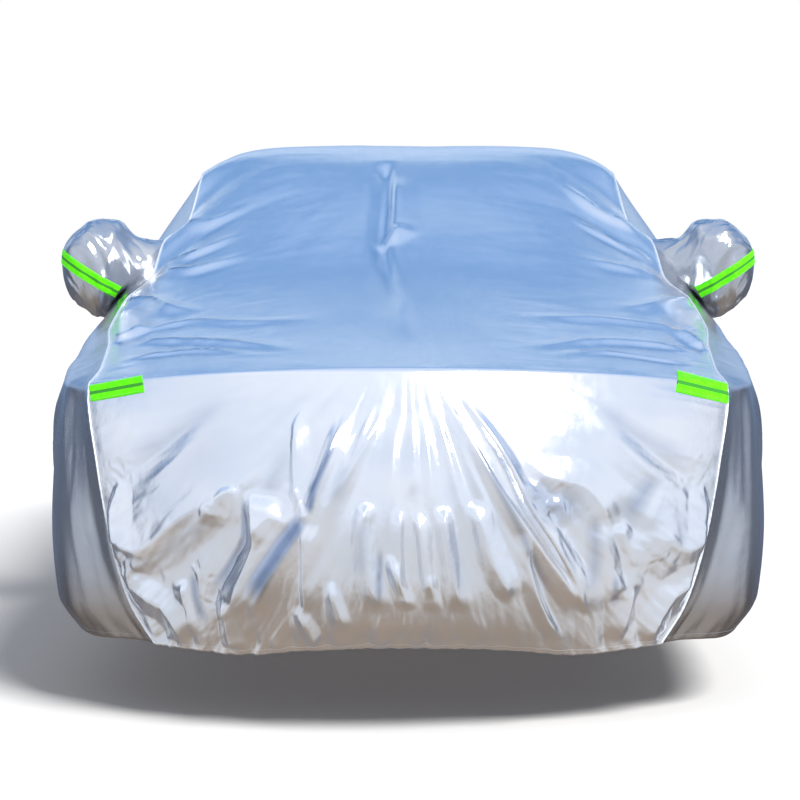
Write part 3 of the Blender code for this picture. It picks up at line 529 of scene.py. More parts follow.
def rear_lift(x, up):
    """Lift of the tail: long soft folds that run down to its hem, and the gathers there."""
    above_hem = TOTAL_UP - up
    folds = 0.0070 * (foil_wrinkles(x / 0.16 + 0.4 * up, above_hem / 0.50, 71) - MIDDLE)
    return folds * ease((up - REAR_UP + 0.10) / 0.25) + hem_gathers(x, above_hem, 37)


def centre_lift(x, up, away):
    """All that lifts the centre panel off its smooth base: x across, up along it, away from its seam."""
    puckers = seam_puckers(up + 0.003 * np.sign(x), away, 51)
    lift = front_lift(x, up) + top_lift(x, up) + rear_lift(x, up) + puckers
    return lift * ease(away / 0.03)


# %% [markdown]
# ## The centre panel
# One sheet of cloth from hem to hem. Its grid is about 4 mm wide on the front, where the folds are, and
# three times as wide over the smooth roof, so one row of six-sided faces joins the two. The last rows turn
# under at each hem, round the elastic.

# %% Rows, columns and the turned hem
FRONT_TOP = 0.80
FRONT_ROW = 0.0045
FRONT_COLUMNS = 372
COARSER = 3
REST_ROWS = (
    # start, end, step
    (FRONT_TOP, 1.70, 0.012), (1.70, 3.30, 0.020), (3.30, 5.40, 0.050), (5.40, TOTAL_UP, 0.020),
)
HEM_RADIUS = 0.006
HEM_TURN = 0.022
INSIDE = Vector((0.0, -0.4, -0.9))


def grid_normals(grid):
    """Unit normals of a grid of points, pointing away from the middle of the cover."""
    first = np.gradient(grid, axis=0)
    second = np.gradient(grid, axis=1)
    normals = np.cross(first, second)
    normals /= np.linalg.norm(normals, axis=2)[:, :, None] + 1e-12
    middle = np.zeros_like(grid)
    middle[..., 1] = np.clip(grid[..., 1], 0.6, 4.2)
    middle[..., 2] = 0.5
    facing = np.sign(np.sum(normals * (grid - middle), axis=2))
    return normals * facing[:, :, None]


def turned_hem(row, row_inside, normals):
    """Rows that turn the cloth under at a hem, round the elastic."""
    down = row - row_inside
    down /= np.linalg.norm(down, axis=1)[:, None]
    rows = []
    for angle in np.radians((45, 90, 135, 180)):
        rows.append(row + down * HEM_RADIUS * math.sin(angle) - normals * HEM_RADIUS * (1 - math.cos(angle)))
    rows.append(rows[-1] - down * HEM_TURN)
    return rows


def new_object(name, data):
    """A new object in the scene."""
    piece = bpy.data.objects.new(name, data)
    bpy.context.scene.collection.objects.link(piece)
    return piece


def mesh_from_faces(name, points, faces, uv, side=1, middle=INSIDE, weld=0.0):
    """A mesh object with its own UV map in metres of cloth. Its faces are turned away from middle, and its
    points nearer than weld become one."""
    points = points * (side, 1, 1) - ORIGIN
    mesh = bpy.data.meshes.new(name)
    mesh.from_pydata(points.tolist(), [], faces)
    layer = mesh.uv_layers.new(name="cloth")
    corner_vertex = np.empty(len(mesh.loops), dtype=np.int32)
    mesh.loops.foreach_get("vertex_index", corner_vertex)
    layer.uv.foreach_set("vector", uv[corner_vertex].astype(np.float32).ravel())
    mesh.shade_smooth()
    shape = bmesh.new()
    shape.from_mesh(mesh)
    loose = [vertex for vertex in shape.verts if not vertex.link_faces]
    bmesh.ops.delete(shape, geom=loose, context="VERTS")
    if weld:
        bmesh.ops.remove_doubles(shape, verts=shape.verts[:], dist=weld)
    shape.normal_update()
    facing = [face.normal.dot(face.calc_center_median() - middle) * face.calc_area() for face in shape.faces]
    if sum(facing) < 0:
        bmesh.ops.reverse_faces(shape, faces=shape.faces[:])
    shape.to_mesh(mesh)
    shape.free()
    return new_object(name, mesh)


def grid_faces(rows, columns, first_number=0, left_out=None):
    """Quads over a grid of numbered points."""
    number = first_number + np.arange(rows * columns).reshape(rows, columns)
    quads = np.stack([number[:-1, :-1], number[:-1, 1:], number[1:, 1:], number[1:, :-1]], axis=-1)
    if left_out is not None:
        quads = quads[~left_out]
    return quads.reshape(-1, 4).tolist()


def mesh_from_grid(name, grid, uv, side, left_out=None, **choices):
    """A mesh object of quads over one grid of points."""
    faces = grid_faces(*grid.shape[:2], left_out=left_out)
    return mesh_from_faces(name, grid.reshape(-1, 3), faces, uv.reshape(-1, 2), side, **choices)


def triangles_of(piece):
    """How many triangles a piece has."""
    return sum(len(face.vertices) - 2 for face in piece.data.polygons)


# %% Make the centre panel
SAG, SAG_PLACE, SAG_WIDTH = 0.017, 0.42, 0.14
RISE, RISE_WIDTH = 0.006, 0.22
SAG_TOP = 0.16


def hem_sag(x, up):
    """The front hem hangs lowest on both sides of its middle, where fewer folds take it up."""
    sides = np.exp(-(((np.abs(x) - SAG_PLACE) / SAG_WIDTH) ** 2))
    middle = np.exp(-((x / RISE_WIDTH) ** 2))
    return (RISE * middle - SAG * sides) * ease((SAG_TOP - up) / SAG_TOP)


def folded_centre(places, columns):
    """Grid of the folded centre panel, with the outward normals of the result."""
    up, across = np.meshgrid(places, np.linspace(-1, 1, columns + 1), indexing="ij")
    smooth = centre_base(up.ravel(), across.ravel()).reshape(*up.shape, 3)
    smooth[..., 2] += hem_sag(smooth[..., 0], up)
    away = (1 - np.abs(across)) * np.abs(sections_at(places)[:, 2])[:, None]
    rise = centre_lift(smooth[..., 0].ravel(), up.ravel(), away.ravel())
    shape = smooth + grid_normals(smooth) * rise.reshape(up.shape)[..., None]
    return shape, grid_normals(shape)


front_places = np.append(np.arange(0, FRONT_TOP - FRONT_ROW / 2, FRONT_ROW), FRONT_TOP)
rest_places = [np.arange(start, end - step / 2, step) for start, end, step in REST_ROWS]
rest_places = np.concatenate([*rest_places, [TOTAL_UP]])
front_shape, front_facing = folded_centre(front_places, FRONT_COLUMNS)
rest_shape, rest_facing = folded_centre(rest_places, FRONT_COLUMNS // COARSER)
turn_ways = np.array([0.004, 0.008, 0.012, 0.018, 0.018 + HEM_TURN])
front_turn = turned_hem(front_shape[0], front_shape[1], front_facing[0])
rear_turn = turned_hem(rest_shape[-1], rest_shape[-2], rest_facing[-1])
front_grid = np.concatenate([front_turn[::-1], front_shape])
rest_grid = np.concatenate([rest_shape[1:], rear_turn])
front_ways = np.concatenate([-turn_ways[::-1], front_places])
rest_ways = np.concatenate([rest_places[1:], TOTAL_UP + turn_ways])
front_uv = np.stack(np.broadcast_arrays(front_grid[..., 0], front_ways[:, None]), axis=-1)
rest_uv = np.stack(np.broadcast_arrays(rest_grid[..., 0], rest_ways[:, None]), axis=-1)

rest_start = front_grid.shape[0] * front_grid.shape[1]
last_row = rest_start - (FRONT_COLUMNS + 1)
joining = []
for column in range(FRONT_COLUMNS // COARSER):
    fine = [last_row + column * COARSER + step for step in range(COARSER + 1)]
    joining.append(fine + [rest_start + column + 1, rest_start + column])
rest_faces = grid_faces(*rest_grid.shape[:2], first_number=rest_start)
centre_panel = mesh_from_faces(
    "centre_panel_cloth",
    np.concatenate([front_grid.reshape(-1, 3), rest_grid.reshape(-1, 3)]),
    grid_faces(*front_grid.shape[:2]) + joining + rest_faces,
    np.concatenate([front_uv.reshape(-1, 2), rest_uv.reshape(-1, 2)]),
)
print("centre panel:", triangles_of(centre_panel), "triangles")

# %% Keep the painted reflections on the cloth
front_up = np.repeat(np.clip(front_ways, 0, None), FRONT_COLUMNS + 1)
painted_streaks = np.clip(folds_lift(front_grid[..., 0].ravel(), front_up, PAINTED_REFLECTIONS), 0, 1)
painted_reflection = centre_panel.data.attributes.new("painted_reflection", "FLOAT", "POINT")
painted_reflection_values = np.zeros(len(centre_panel.data.vertices), dtype=np.float32)
painted_reflection_values[: len(painted_streaks)] = painted_streaks
painted_reflection.data.foreach_set("value", painted_reflection_values)
print("toned points:", int((painted_streaks > 0.05).sum()))

# %% [markdown]
# ## The side panels
# Each side hangs from the seam to the hem. It is smooth over the doors, with long soft folds, short puckers
# along the seam and gathers at the hem.

# %% The folds of the sides
SIDE_FOLDS = {
    # left wall, right wall, height, power, start width, head fade, foot fade, points (along, down)
    "front_wing": (110, 110, 12, 1.6, 0.6, 0.4, 0.4, (1100, 100), (1750, 700)),
    "under_mirror": (110, 110, -12, 1.6, 0.6, 0.4, 0.4, (2700, 340), (2350, 900)),
    "door": (120, 120, 14, 1.6, 0.6, 0.4, 0.3, (3050, 220), (3350, 950)),
    "rear_door": (120, 120, -12, 1.6, 0.6, 0.4, 0.3, (3800, 180), (3950, 950)),
    "rear_wing": (120, 120, 14, 1.6, 0.6, 0.4, 0.4, (4700, 120), (4250, 850)),
}
SIDE_COLUMNS = 96
VALLEY_DEPTH = 0.010


def side_lift(up, drop, seed):
    """All that lifts a side panel off its smooth base: up along the seam, drop below it."""
    behind = up - FRONT_UP
    lift = folds_lift(up, drop, SIDE_FOLDS) / MILLIMETRES * ease(drop / 0.12)
    lift += 0.0040 * soft_noise(up / 0.30, drop / 0.75, seed) * ease(drop / 0.10)
    lift += 0.0022 * (foil_wrinkles(up / 0.13, drop / 0.40, seed + 2) - MIDDLE) * ease(drop / 0.08)
    lift += (0.35 + 0.65 * ease((up - 1.1) / 0.6)) * hem_gathers(up, SIDE_DROP - drop, seed + 7)
    lift += seam_puckers(up, drop, seed + 9)
    valley = ease(behind / 0.085) * ease((0.50 - behind) / 0.42)
    lift -= VALLEY_DEPTH * valley * ease((drop - 0.02) / 0.15) * ease((0.85 - drop) / 0.2)
    ends = ease(behind / 0.02) * ease((REAR_UP - up) / 0.04)
    return lift * ease(drop / 0.03) * ends


# %% Make the side panels
MOUTH_UP = 0.5 * (UP_OF["pillar_foot"] + 2 * (UP_OF["pillar"] - UP_OF["pillar_foot"]) / 3 + UP_OF["header"])
MOUTH_CENTRE_DROP = 0.112
MOUTH_HALF_DROP = 0.086
MOUTH_HALF_ALONG = 0.125
MOUTH_SHARE = 0.93
CORNER_SAG = 0.024
SIDE_STEPS = ((FRONT_UP, 1.40, 0.010), (1.40, 3.40, 0.016), (3.40, REAR_UP, 0.025))
side_places = np.concatenate([*(np.arange(*steps) for steps in SIDE_STEPS), [REAR_UP]])
side_shares = np.linspace(0, 1, SIDE_COLUMNS + 1)
side_smooth = side_base(side_places, side_shares)
corner_sag = ease((side_places - FRONT_UP - 0.03) / 0.26) * ease((1.55 - side_places) / 0.45)
side_smooth[..., 2] -= CORNER_SAG * corner_sag[:, None] * side_shares[None, :] ** 2
side_up_grid, side_drop_grid = np.meshgrid(side_places, side_shares * SIDE_DROP, indexing="ij")
side_middle_up = 0.5 * (side_up_grid[:-1, :-1] + side_up_grid[1:, 1:])
side_middle_drop = 0.5 * (side_drop_grid[:-1, :-1] + side_drop_grid[1:, 1:])
mouth_along = (side_middle_up - MOUTH_UP) / MOUTH_HALF_ALONG
mouth_down = (side_middle_drop - MOUTH_CENTRE_DROP) / MOUTH_HALF_DROP
side_panels = {}
side_shapes = {}
for suffix, side, seed in (("left", -1, 61), ("right", 1, 81)):
    rise = side_lift(side_up_grid.ravel(), side_drop_grid.ravel(), seed).reshape(side_up_grid.shape)
    shape = side_smooth + grid_normals(side_smooth) * rise[..., None]
    side_shapes[suffix] = shape
    facing = grid_normals(shape)
    turn = turned_hem(shape[:, -1], shape[:, -2], facing[:, -1])
    grid = np.concatenate([shape, np.stack(turn, axis=1)], axis=1)
    drops = np.concatenate([side_shares * SIDE_DROP, SIDE_DROP + turn_ways])
    uv = np.stack(np.broadcast_arrays(side_places[:, None], drops[None, :]), axis=-1)
    left_out = np.zeros((grid.shape[0] - 1, grid.shape[1] - 1), dtype=bool)
    left_out[:, :SIDE_COLUMNS] = np.hypot(mouth_along, mouth_down) < MOUTH_SHARE
    side_panels[suffix] = mesh_from_grid("side_panel_cloth_" + suffix, grid, uv, side, left_out)
    print("side panel", suffix, triangles_of(side_panels[suffix]), "triangles")

# %% [markdown]
# ## The mirror pockets
# A pocket is a bag drawn through seven rings: the first is its mouth, which is sewn to the side panel, and the
# last one closes its blind end over the mirror.

# %% Make the mirror pockets
POCKET = {
    # top_x, top_z, bottom_x, bottom_z, front_y, back_y
    "neck": (0.815, 1.168, 0.912, 0.928, 1.785, 2.010),
    "belly": (0.872, 1.220, 0.938, 0.932, 1.745, 2.010),
    "shoulder": (0.932, 1.224, 0.978, 0.958, 1.742, 1.995),
    "tip": (0.992, 1.192, 1.010, 0.985, 1.770, 1.980),
    "end": (1.032, 1.142, 1.032, 1.035, 1.820, 1.935),
    "close": (1.042, 1.095, 1.042, 1.088, 1.875, 1.880),
}
POCKET_KNOTS = np.array([0.0, 1.0, 2.0, 3.0, 4.0, 4.8, 5.4])
POCKET_ROUND = 0.85
POCKET_AROUND = 120
POCKET_ALONG = 64
POCKET_WELD = 0.0002
CRUMPLE_AROUND = 2.2
CRUMPLE_ALONG = 0.9
POCKET_CRUMPLES = (
    # height, fineness, shift, seed
    (0.010, 1.0, 20, 0),
    (0.004, 2.1, 50, 4),
)


def side_at(shape, up, drop):
    """A point of a side panel's folded surface."""
    row = np.interp(up, side_places, np.arange(len(side_places)))
    column = drop / SIDE_DROP * SIDE_COLUMNS
    low_row = np.clip(row.astype(int), 0, len(side_places) - 2)
    low_column = np.clip(column.astype(int), 0, SIDE_COLUMNS - 1)
    part_row = (row - low_row)[:, None]
    part_column = (column - low_column)[:, None]
    near = shape[low_row, low_column] * (1 - part_column) + shape[low_row, low_column + 1] * part_column
    far = shape[low_row + 1, low_column] * (1 - part_column) + shape[low_row + 1, low_column + 1] * part_column
    return near * (1 - part_row) + far * part_row


def pocket_rings(shape):
    """Rings of a right-hand pocket, from its mouth to its closed end."""
    angle = np.linspace(0, 2 * np.pi, POCKET_AROUND, endpoint=False)
    along = np.sign(np.cos(angle)) * np.abs(np.cos(angle)) ** POCKET_ROUND
    down = np.sign(np.sin(angle)) * np.abs(np.sin(angle)) ** POCKET_ROUND
    mouth = side_at(shape, MOUTH_UP + MOUTH_HALF_ALONG * along, MOUTH_CENTRE_DROP + MOUTH_HALF_DROP * down)
    rings = [mouth]
    for top_x, top_z, bottom_x, bottom_z, front_y, back_y in POCKET.values():
        x = (top_x + bottom_x) / 2 + (bottom_x - top_x) / 2 * down
        y = (front_y + back_y) / 2 + (back_y - front_y) / 2 * along
        z = (top_z + bottom_z) / 2 + (bottom_z - top_z) / 2 * down
        rings.append(np.stack([x, y, z], axis=1))
    rings = np.array(rings)
    at = np.linspace(0, POCKET_KNOTS[-1], POCKET_ALONG + 1)
    smooth = smooth_through(POCKET_KNOTS, rings.reshape(len(rings), -1), at)
    return smooth.reshape(len(at), POCKET_AROUND, 3), at


def crumple_lift(turn, stations, seed):
    """Crumples round a pocket: turn is the angle round it, stations the places along it."""
    x = CRUMPLE_AROUND * np.cos(turn)[None, :] + 0 * stations[:, None]
    y = CRUMPLE_AROUND * np.sin(turn)[None, :] + CRUMPLE_ALONG * stations[:, None]
    lift = 0.0
    for height, fine, shift, more in POCKET_CRUMPLES:
        lift = lift + height * (foil_wrinkles(fine * x + shift, fine * y + 20, seed + more) - 0.75)
    return lift * (ease(stations / 0.5) * ease((POCKET_KNOTS[-1] - stations) / 0.8))[:, None]


pockets = {}
turn = np.linspace(0, 2 * np.pi, POCKET_AROUND + 1)
for suffix, side, seed in (("left", -1, 101), ("right", 1, 102)):
    rings, stations = pocket_rings(side_shapes[suffix])
    closed = np.concatenate([rings, rings[:, :1]], axis=1)
    outward = closed - rings.mean(axis=1)[:, None]
    outward /= np.linalg.norm(outward, axis=2)[..., None] + 1e-9
    grid = closed + outward * crumple_lift(turn, stations, seed)[..., None]
    uv = np.stack(np.broadcast_arrays(turn[None, :] * 0.12, stations[:, None] * 0.06), axis=-1)
    middle = Vector(rings.mean(axis=(0, 1)) * (side, 1, 1) - ORIGIN)
    name = "mirror_pocket_cloth_" + suffix
    pockets[suffix] = mesh_from_grid(name, grid, uv, side, middle=middle, weld=POCKET_WELD)
    print("pocket", suffix, len(pockets[suffix].data.polygons), "faces")

# %% [markdown]
# ## Reflective strips
# A strip is a band of tape sewn on the finished cloth, so it is cut out of a copy of that cloth: the copy
# is lifted a little, four planes cut it to the band that is seen straight from the front, and a fifth plane
# cuts off what lies behind it.

# %% Cut the strips
BANDS = {
    # start_x, start_z, end_x, end_z, width, back_y
    "front_strip_left": (0.800, 0.802, 0.657, 0.834, 0.038, 1.20),
    "front_strip_right": (0.810, 0.800, 0.669, 0.839, 0.046, 1.20),
    "mirror_strip_left": (1.070, 1.134, 0.866, 1.007, 0.038, 1.87),
    "mirror_strip_right": (1.070, 1.134, 0.866, 1.007, 0.038, 1.87),
}
STRIP_LIFT = 0.0012
STRIP_THICK = 0.0012
STRIP_REACH = 0.30
STRIP_MARGIN = 0.05


def table_point(x, y, z, side):
    """A point of the tables in the model's frame."""
    return Vector((x * side, y, z)) - Vector(ORIGIN)


def cut_strip(name, suffix, cloth, side):
    """A strip on a piece of cloth, with its place across the tape kept in its UV map."""
    start_x, start_z, end_x, end_z, width, back_y = BANDS[f"{name}_{suffix}"]
    start = table_point(start_x, 0.0, start_z, side)
    end = table_point(end_x, 0.0, end_z, side)
    run = (end - start).normalized()
    over = Vector((-run.z, 0.0, run.x))
    back = table_point(0.0, back_y, 0.0, side)
    shape = bmesh.new()
    shape.from_mesh(cloth.data)
    places = {face: face.calc_center_median() for face in shape.faces}
    last_y = back.y + STRIP_MARGIN
    far = [face for face, at in places.items() if (at - start).xz.length > STRIP_REACH or at.y > last_y]
    bmesh.ops.delete(shape, geom=far, context="FACES")
    shape.normal_update()
    for vertex, normal in [(vertex, vertex.normal.copy()) for vertex in shape.verts]:
        vertex.co += normal * STRIP_LIFT
    cuts = (
        (start, -run), (end, run), (start + over * width / 2, over), (start - over * width / 2, -over),
        (back, Vector((0.0, 1.0, 0.0))),
    )
    for place, outward in cuts:
        everything = shape.verts[:] + shape.edges[:] + shape.faces[:]
        bmesh.ops.bisect_plane(shape, geom=everything, plane_co=place, plane_no=outward, clear_outer=True)
    layer = shape.loops.layers.uv.verify()
    for face in shape.faces:
        for corner in face.loops:
            offset = corner.vert.co - start
            corner[layer].uv = (offset.dot(run), offset.dot(over) / width + 0.5)
    piece_name = f"{name}_tape_{suffix}"
    mesh = bpy.data.meshes.new(piece_name)
    shape.to_mesh(mesh)
    shape.free()
    mesh.shade_smooth()
    strip = new_object(piece_name, mesh)
    thick = strip.modifiers.new("thickness", "SOLIDIFY")
    thick.thickness = STRIP_THICK
    thick.offset = 1.0
    print(piece_name, len(mesh.polygons), "faces")
    return strip


strips = {}
for suffix, side in (("left", -1), ("right", 1)):
    strips["front_strip_" + suffix] = cut_strip("front_strip", suffix, centre_panel, side)
    strips["mirror_strip_" + suffix] = cut_strip("mirror_strip", suffix, pockets[suffix], side)

# %% [markdown]
# ## Node trees
# Sums in a node tree are written as plain Python: one class wraps an output, and each operator adds its Math
# node. A second class makes every other node, from its type, its settings and what feeds its sockets.

# %% Classes for sums and node trees
class Value:
    """An output of a node that can be reckoned with."""

    def __init__(self, nodes, socket):
        self.nodes = nodes
        self.socket = socket

    def __getitem__(self, name):
        """Another output of the same node."""
        return Value(self.nodes, self.socket.node.outputs[name])

    def _math(self, operation, *terms):
        return self.nodes.node("ShaderNodeMath", {"operation": operation}, dict(enumerate(terms)))

    def __add__(self, other):
        return self._math("ADD", self, other)

    __radd__ = __add__

    def __sub__(self, other):
        return self._math("SUBTRACT", self, other)

    def __rsub__(self, other):
        return self._math("SUBTRACT", other, self)

    def __mul__(self, other):
        return self._math("MULTIPLY", self, other)

    __rmul__ = __mul__

    def __truediv__(self, other):
        return self._math("DIVIDE", self, other)

    def sine(self):
        return self._math("SINE", self)

    def size(self):
        return self._math("ABSOLUTE", self)

    def power(self, other):
        return self._math("POWER", self, other)

    def most(self, other):
        return self._math("MAXIMUM", self, other)


class Nodes:
    """A node tree under construction."""

    def __init__(self, tree):
        self.tree = tree

    def node(self, kind, settings=(), sockets=()):
        """The first output of any node, by its type, its settings and the values or links of its sockets."""
        node = self.tree.nodes.new(kind)
        for name, value in dict(settings).items():
            setattr(node, name, value)
        self.feed(node, dict(sockets))
        return Value(self, node.outputs[0]) if node.outputs else None

    def feed(self, node, sockets):
        """Link each named socket of a node to a value, or set it to a constant."""
        for name, value in sockets.items():
            if isinstance(value, Value):
                self.tree.links.new(value.socket, node.inputs[name])
            else:
                node.inputs[name].default_value = value

    def range_of(self, value, low, high, to_low=0.0, to_high=1.0):
        """A value carried from one range to another with soft ends, and held there."""
        ends = {"From Min": low, "From Max": high, "To Min": to_low, "To Max": to_high}
        return self.node("ShaderNodeMapRange", {"interpolation_type": "SMOOTHSTEP"}, {"Value": value, **ends})

    def mixed(self, factor, first, second):
        """One colour turning into another."""
        return self.node("ShaderNodeMix", {"data_type": "RGBA"}, {"Factor": factor, 6: first, 7: second})[2]

    def noise(self, vector, scale, detail=2.0, roughness=0.5):
        """Cloudy noise round 0.5."""
        look = {"Scale": scale, "Detail": detail, "Roughness": roughness}
        return self.node("ShaderNodeTexNoise", {}, {"Vector": vector, **look})


class Finish(Nodes):
    """A material under construction."""

    def __init__(self, name):
        self.material = bpy.data.materials.new(name)
        self.material.use_nodes = True
        super().__init__(self.material.node_tree)

    def finished(self, sockets):
        """The material, once the sockets of its shader are fed."""
        self.feed(self.tree.nodes["Principled BSDF"], sockets)
        return self.material


# %% [markdown]
# ## The welts
# The welt is a strip of brighter cloth rolled over the seam. It follows a path, so Geometry Nodes make it: a
# circle swept along the seam, with its radius drawn in and out where the thread puckers it.

# %% Node trees for the welt
WELT_STEP = 0.005
WELT_SIDES = 8


def node_group(name, inputs):
    """A Geometry Nodes tree with named inputs, and the identifiers of these."""
    tree = bpy.data.node_groups.new(name, "GeometryNodeTree")
    tree.interface.new_socket("Geometry", in_out="INPUT", socket_type="NodeSocketGeometry")
    identifiers = {}
    for label, value in inputs.items():
        kind = "NodeSocketInt" if isinstance(value, int) else "NodeSocketFloat"
        socket = tree.interface.new_socket(label, in_out="INPUT", socket_type=kind)
        socket.default_value = value
        identifiers[label] = socket.identifier
    tree.interface.new_socket("Geometry", in_out="OUTPUT", socket_type="NodeSocketGeometry")
    return Nodes(tree), identifiers


def hand_out(nodes, geometry, material):
    """Realize, smooth and finish what a tree has made, and hand it out."""
    geometry = nodes.node("GeometryNodeRealizeInstances", {}, {"Geometry": geometry})
    geometry = nodes.node("GeometryNodeSetShadeSmooth", {}, {"Geometry": geometry})
    geometry = nodes.node("GeometryNodeSetMaterial", {}, {"Geometry": geometry, "Material": material})
    nodes.node("NodeGroupOutput", {}, {"Geometry": geometry})


def welt_tree(material):
    """Sweep a puckered cord along the edges of a mesh."""
    nodes, identifiers = node_group("welt", {"Radius": 0.003, "Pucker": 0.3, "Pucker Spacing": 0.012})
    given = nodes.node("NodeGroupInput")
    curve = nodes.node("GeometryNodeMeshToCurve", {}, {"Mesh": given["Geometry"]})
    curve = nodes.node("GeometryNodeResampleCurve", {"mode": "LENGTH"}, {"Curve": curve, "Length": WELT_STEP})
    along = nodes.node("GeometryNodeSplineParameter")["Length"] / given["Pucker Spacing"]
    waves = nodes.node("ShaderNodeTexNoise", {"noise_dimensions": "1D"}, {"W": along, "Detail": 1.0})
    drawn_in = {"Value": waves, "From Min": 0.3, "From Max": 0.7, "To Max": given["Pucker"]}
    width = 1.0 - nodes.node("ShaderNodeMapRange", {}, drawn_in)
    curve = nodes.node("GeometryNodeSetCurveRadius", {}, {"Curve": curve, "Radius": width})
    sides = {"Resolution": WELT_SIDES, "Radius": given["Radius"]}
    circle = nodes.node("GeometryNodeCurvePrimitiveCircle", {}, sides)
    sweep = {"Curve": curve, "Profile Curve": circle, "Scale": width, "Fill Caps": True}
    hand_out(nodes, nodes.node("GeometryNodeCurveToMesh", {}, sweep), material)
    return nodes.tree, identifiers


def line_object(name, lines):
    """A mesh of edges along rows of points, for a node tree to follow."""
    edges = []
    points = []
    for line in lines:
        first = len(points)
        points += [list(point) for point in line]
        edges += [(number, number + 1) for number in range(first, len(points) - 1)]
    mesh = bpy.data.meshes.new(name)
    mesh.from_pydata(points, edges, [])
    return new_object(name, mesh)


def grown(line, tree, identifiers, values, piece_name):
    """Run a node tree on a line and keep its result as a plain mesh."""
    modifier = line.modifiers.new("grow", "NODES")
    modifier.node_group = tree
    for name, value in values.items():
        modifier[identifiers[name]] = value
    depsgraph = bpy.context.evaluated_depsgraph_get()
    shown = line.evaluated_get(depsgraph)
    mesh = bpy.data.meshes.new_from_object(shown, preserve_all_data_layers=True, depsgraph=depsgraph)
    mesh.name = piece_name
    bpy.data.objects.remove(line, do_unlink=True)
    print(piece_name, len(mesh.polygons), "faces")
    return new_object(piece_name, mesh)


# %% [markdown]
# ## Finishes
# The coating is almost a mirror, with fine creases and a hint of the weave under it. The binding is duller and
# brighter, and the tape glows a little, as fluorescent cloth does.

# %% The silver coating
WEAVE = 2 * math.pi / 0.0016
# The blue-grey of the painted reflections: the darker, bluer cloth that a deep fold mirrors from the fold
# beside it.
PAINTED_REFLECTION_COLOUR = (0.25, 0.32, 0.47, 1)
TAPE_GREEN = (0.10, 0.88, 0.003, 1)


def silver_cloth(name, dark, bright, low):
    """Cloth with a bright aluminium coating: foil-like, with a fine plain weave under it. low is its colour
    past the first 0.6 to 0.9 m of cloth: at the hem of a side panel, and behind the front edge. With the darker
    colours of the side panels the copy carries painted shade, and its beige low is a painted reflection of the
    warm ground; the painted reflections of the front are mixed in last."""
    finish = Finish(name)
    position = finish.node("ShaderNodeTexCoord")["Object"]
    stretched = finish.node("ShaderNodeMapping", {}, {"Vector": position, "Scale": (1.0, 0.45, 1.0)})
    broad = finish.noise(position, 5.0, 3.0)
    creased = finish.noise(stretched, 38.0, 3.0, 0.55)
    fine = finish.noise(position, 160.0)
    cloth = finish.node("ShaderNodeUVMap", {"uv_map": "cloth"})
    parts = finish.node("ShaderNodeSeparateXYZ", {}, {"Vector": cloth})
    weave = (parts["X"] * WEAVE).sine() * (parts["Y"] * WEAVE).sine()
    height = creased * 0.55 + fine * 0.10 + weave * 0.02
    colour = finish.mixed(finish.range_of(broad, 0.35, 0.65), dark, bright)
    # Past 0.62 to 0.88 m of cloth the colour turns to low: on the side panels a beige painted reflection of the
    # ground near the hem.
    colour = finish.mixed(finish.range_of(parts["Y"], 0.62, 0.88), colour, low)
    # The painted reflections stored on the centre panel turn the colour towards that blue-grey.
    painted_reflection = finish.node("ShaderNodeAttribute", {"attribute_name": "painted_reflection"})["Fac"]
    return finish.finished({
        "Base Color": finish.mixed(painted_reflection, colour, PAINTED_REFLECTION_COLOUR),
        "Roughness": finish.range_of(creased, 0.3, 0.7, 0.12, 0.19),
        "Normal": finish.node("ShaderNodeBump", {}, {"Strength": 0.35, "Distance": 0.004, "Height": height}),
        "Metallic": 0.96,
    })


def welt_cloth():
    """The bright binding over the seam."""
    finish = Finish("silver_welt")
    grain = finish.noise(finish.node("ShaderNodeTexCoord")["Object"], 240.0)
    return finish.finished({
        "Base Color": finish.mixed(grain, (0.80, 0.84, 0.90, 1), (0.95, 0.96, 0.98, 1)),
        "Roughness": finish.range_of(grain, 0.3, 0.7, 0.30, 0.45),
        "Normal": finish.node("ShaderNodeBump", {}, {"Strength": 0.4, "Distance": 0.001, "Height": grain}),
        "Metallic": 0.6,
    })


def green_tape():
    """Fluorescent tape with a darker stripe along its middle."""
    finish = Finish("green_tape")
    place = finish.node("ShaderNodeUVMap", {"uv_map": "cloth"})
    across = finish.node("ShaderNodeSeparateXYZ", {}, {"Vector": place})["Y"]
    stripe = finish.range_of((across - 0.5).size(), 0.09, 0.11, 1.0, 0.0)
    mottle = finish.noise(finish.node("ShaderNodeTexCoord")["Object"], 90.0)
    tape = finish.mixed(finish.range_of(mottle, 0.35, 0.65), TAPE_GREEN, (0.17, 0.98, 0.01, 1))
    return finish.finished({
        "Base Color": finish.mixed(stripe, tape, (0.05, 0.33, 0.035, 1)),
        "Roughness": finish.range_of(stripe, 0.0, 1.0, 0.60, 0.45),
        "Specular IOR Level": 0.2,
        "Metallic": 0.0,
        "Emission Color": finish.mixed(stripe, TAPE_GREEN, (0.02, 0.12, 0.01, 1)),
        "Emission Strength": 0.15,
    })


SILVER = silver_cloth("silver_cloth", (0.80, 0.83, 0.88, 1), (0.86, 0.87, 0.90, 1), (0.84, 0.86, 0.90, 1))
# A darker copy of the silver for the side panels and pockets: painted shade, with a beige painted reflection of
# the warm ground near the side hems.
SIDE_PAINTED_SHADE = ((0.50, 0.53, 0.58, 1), (0.56, 0.58, 0.62, 1), (0.36, 0.32, 0.29, 1))
SILVER_PAINTED_SHADE = silver_cloth("silver_cloth_sides", *SIDE_PAINTED_SHADE)
WELT = welt_cloth()
GREEN = green_tape()
centre_panel.data.materials.append(SILVER)
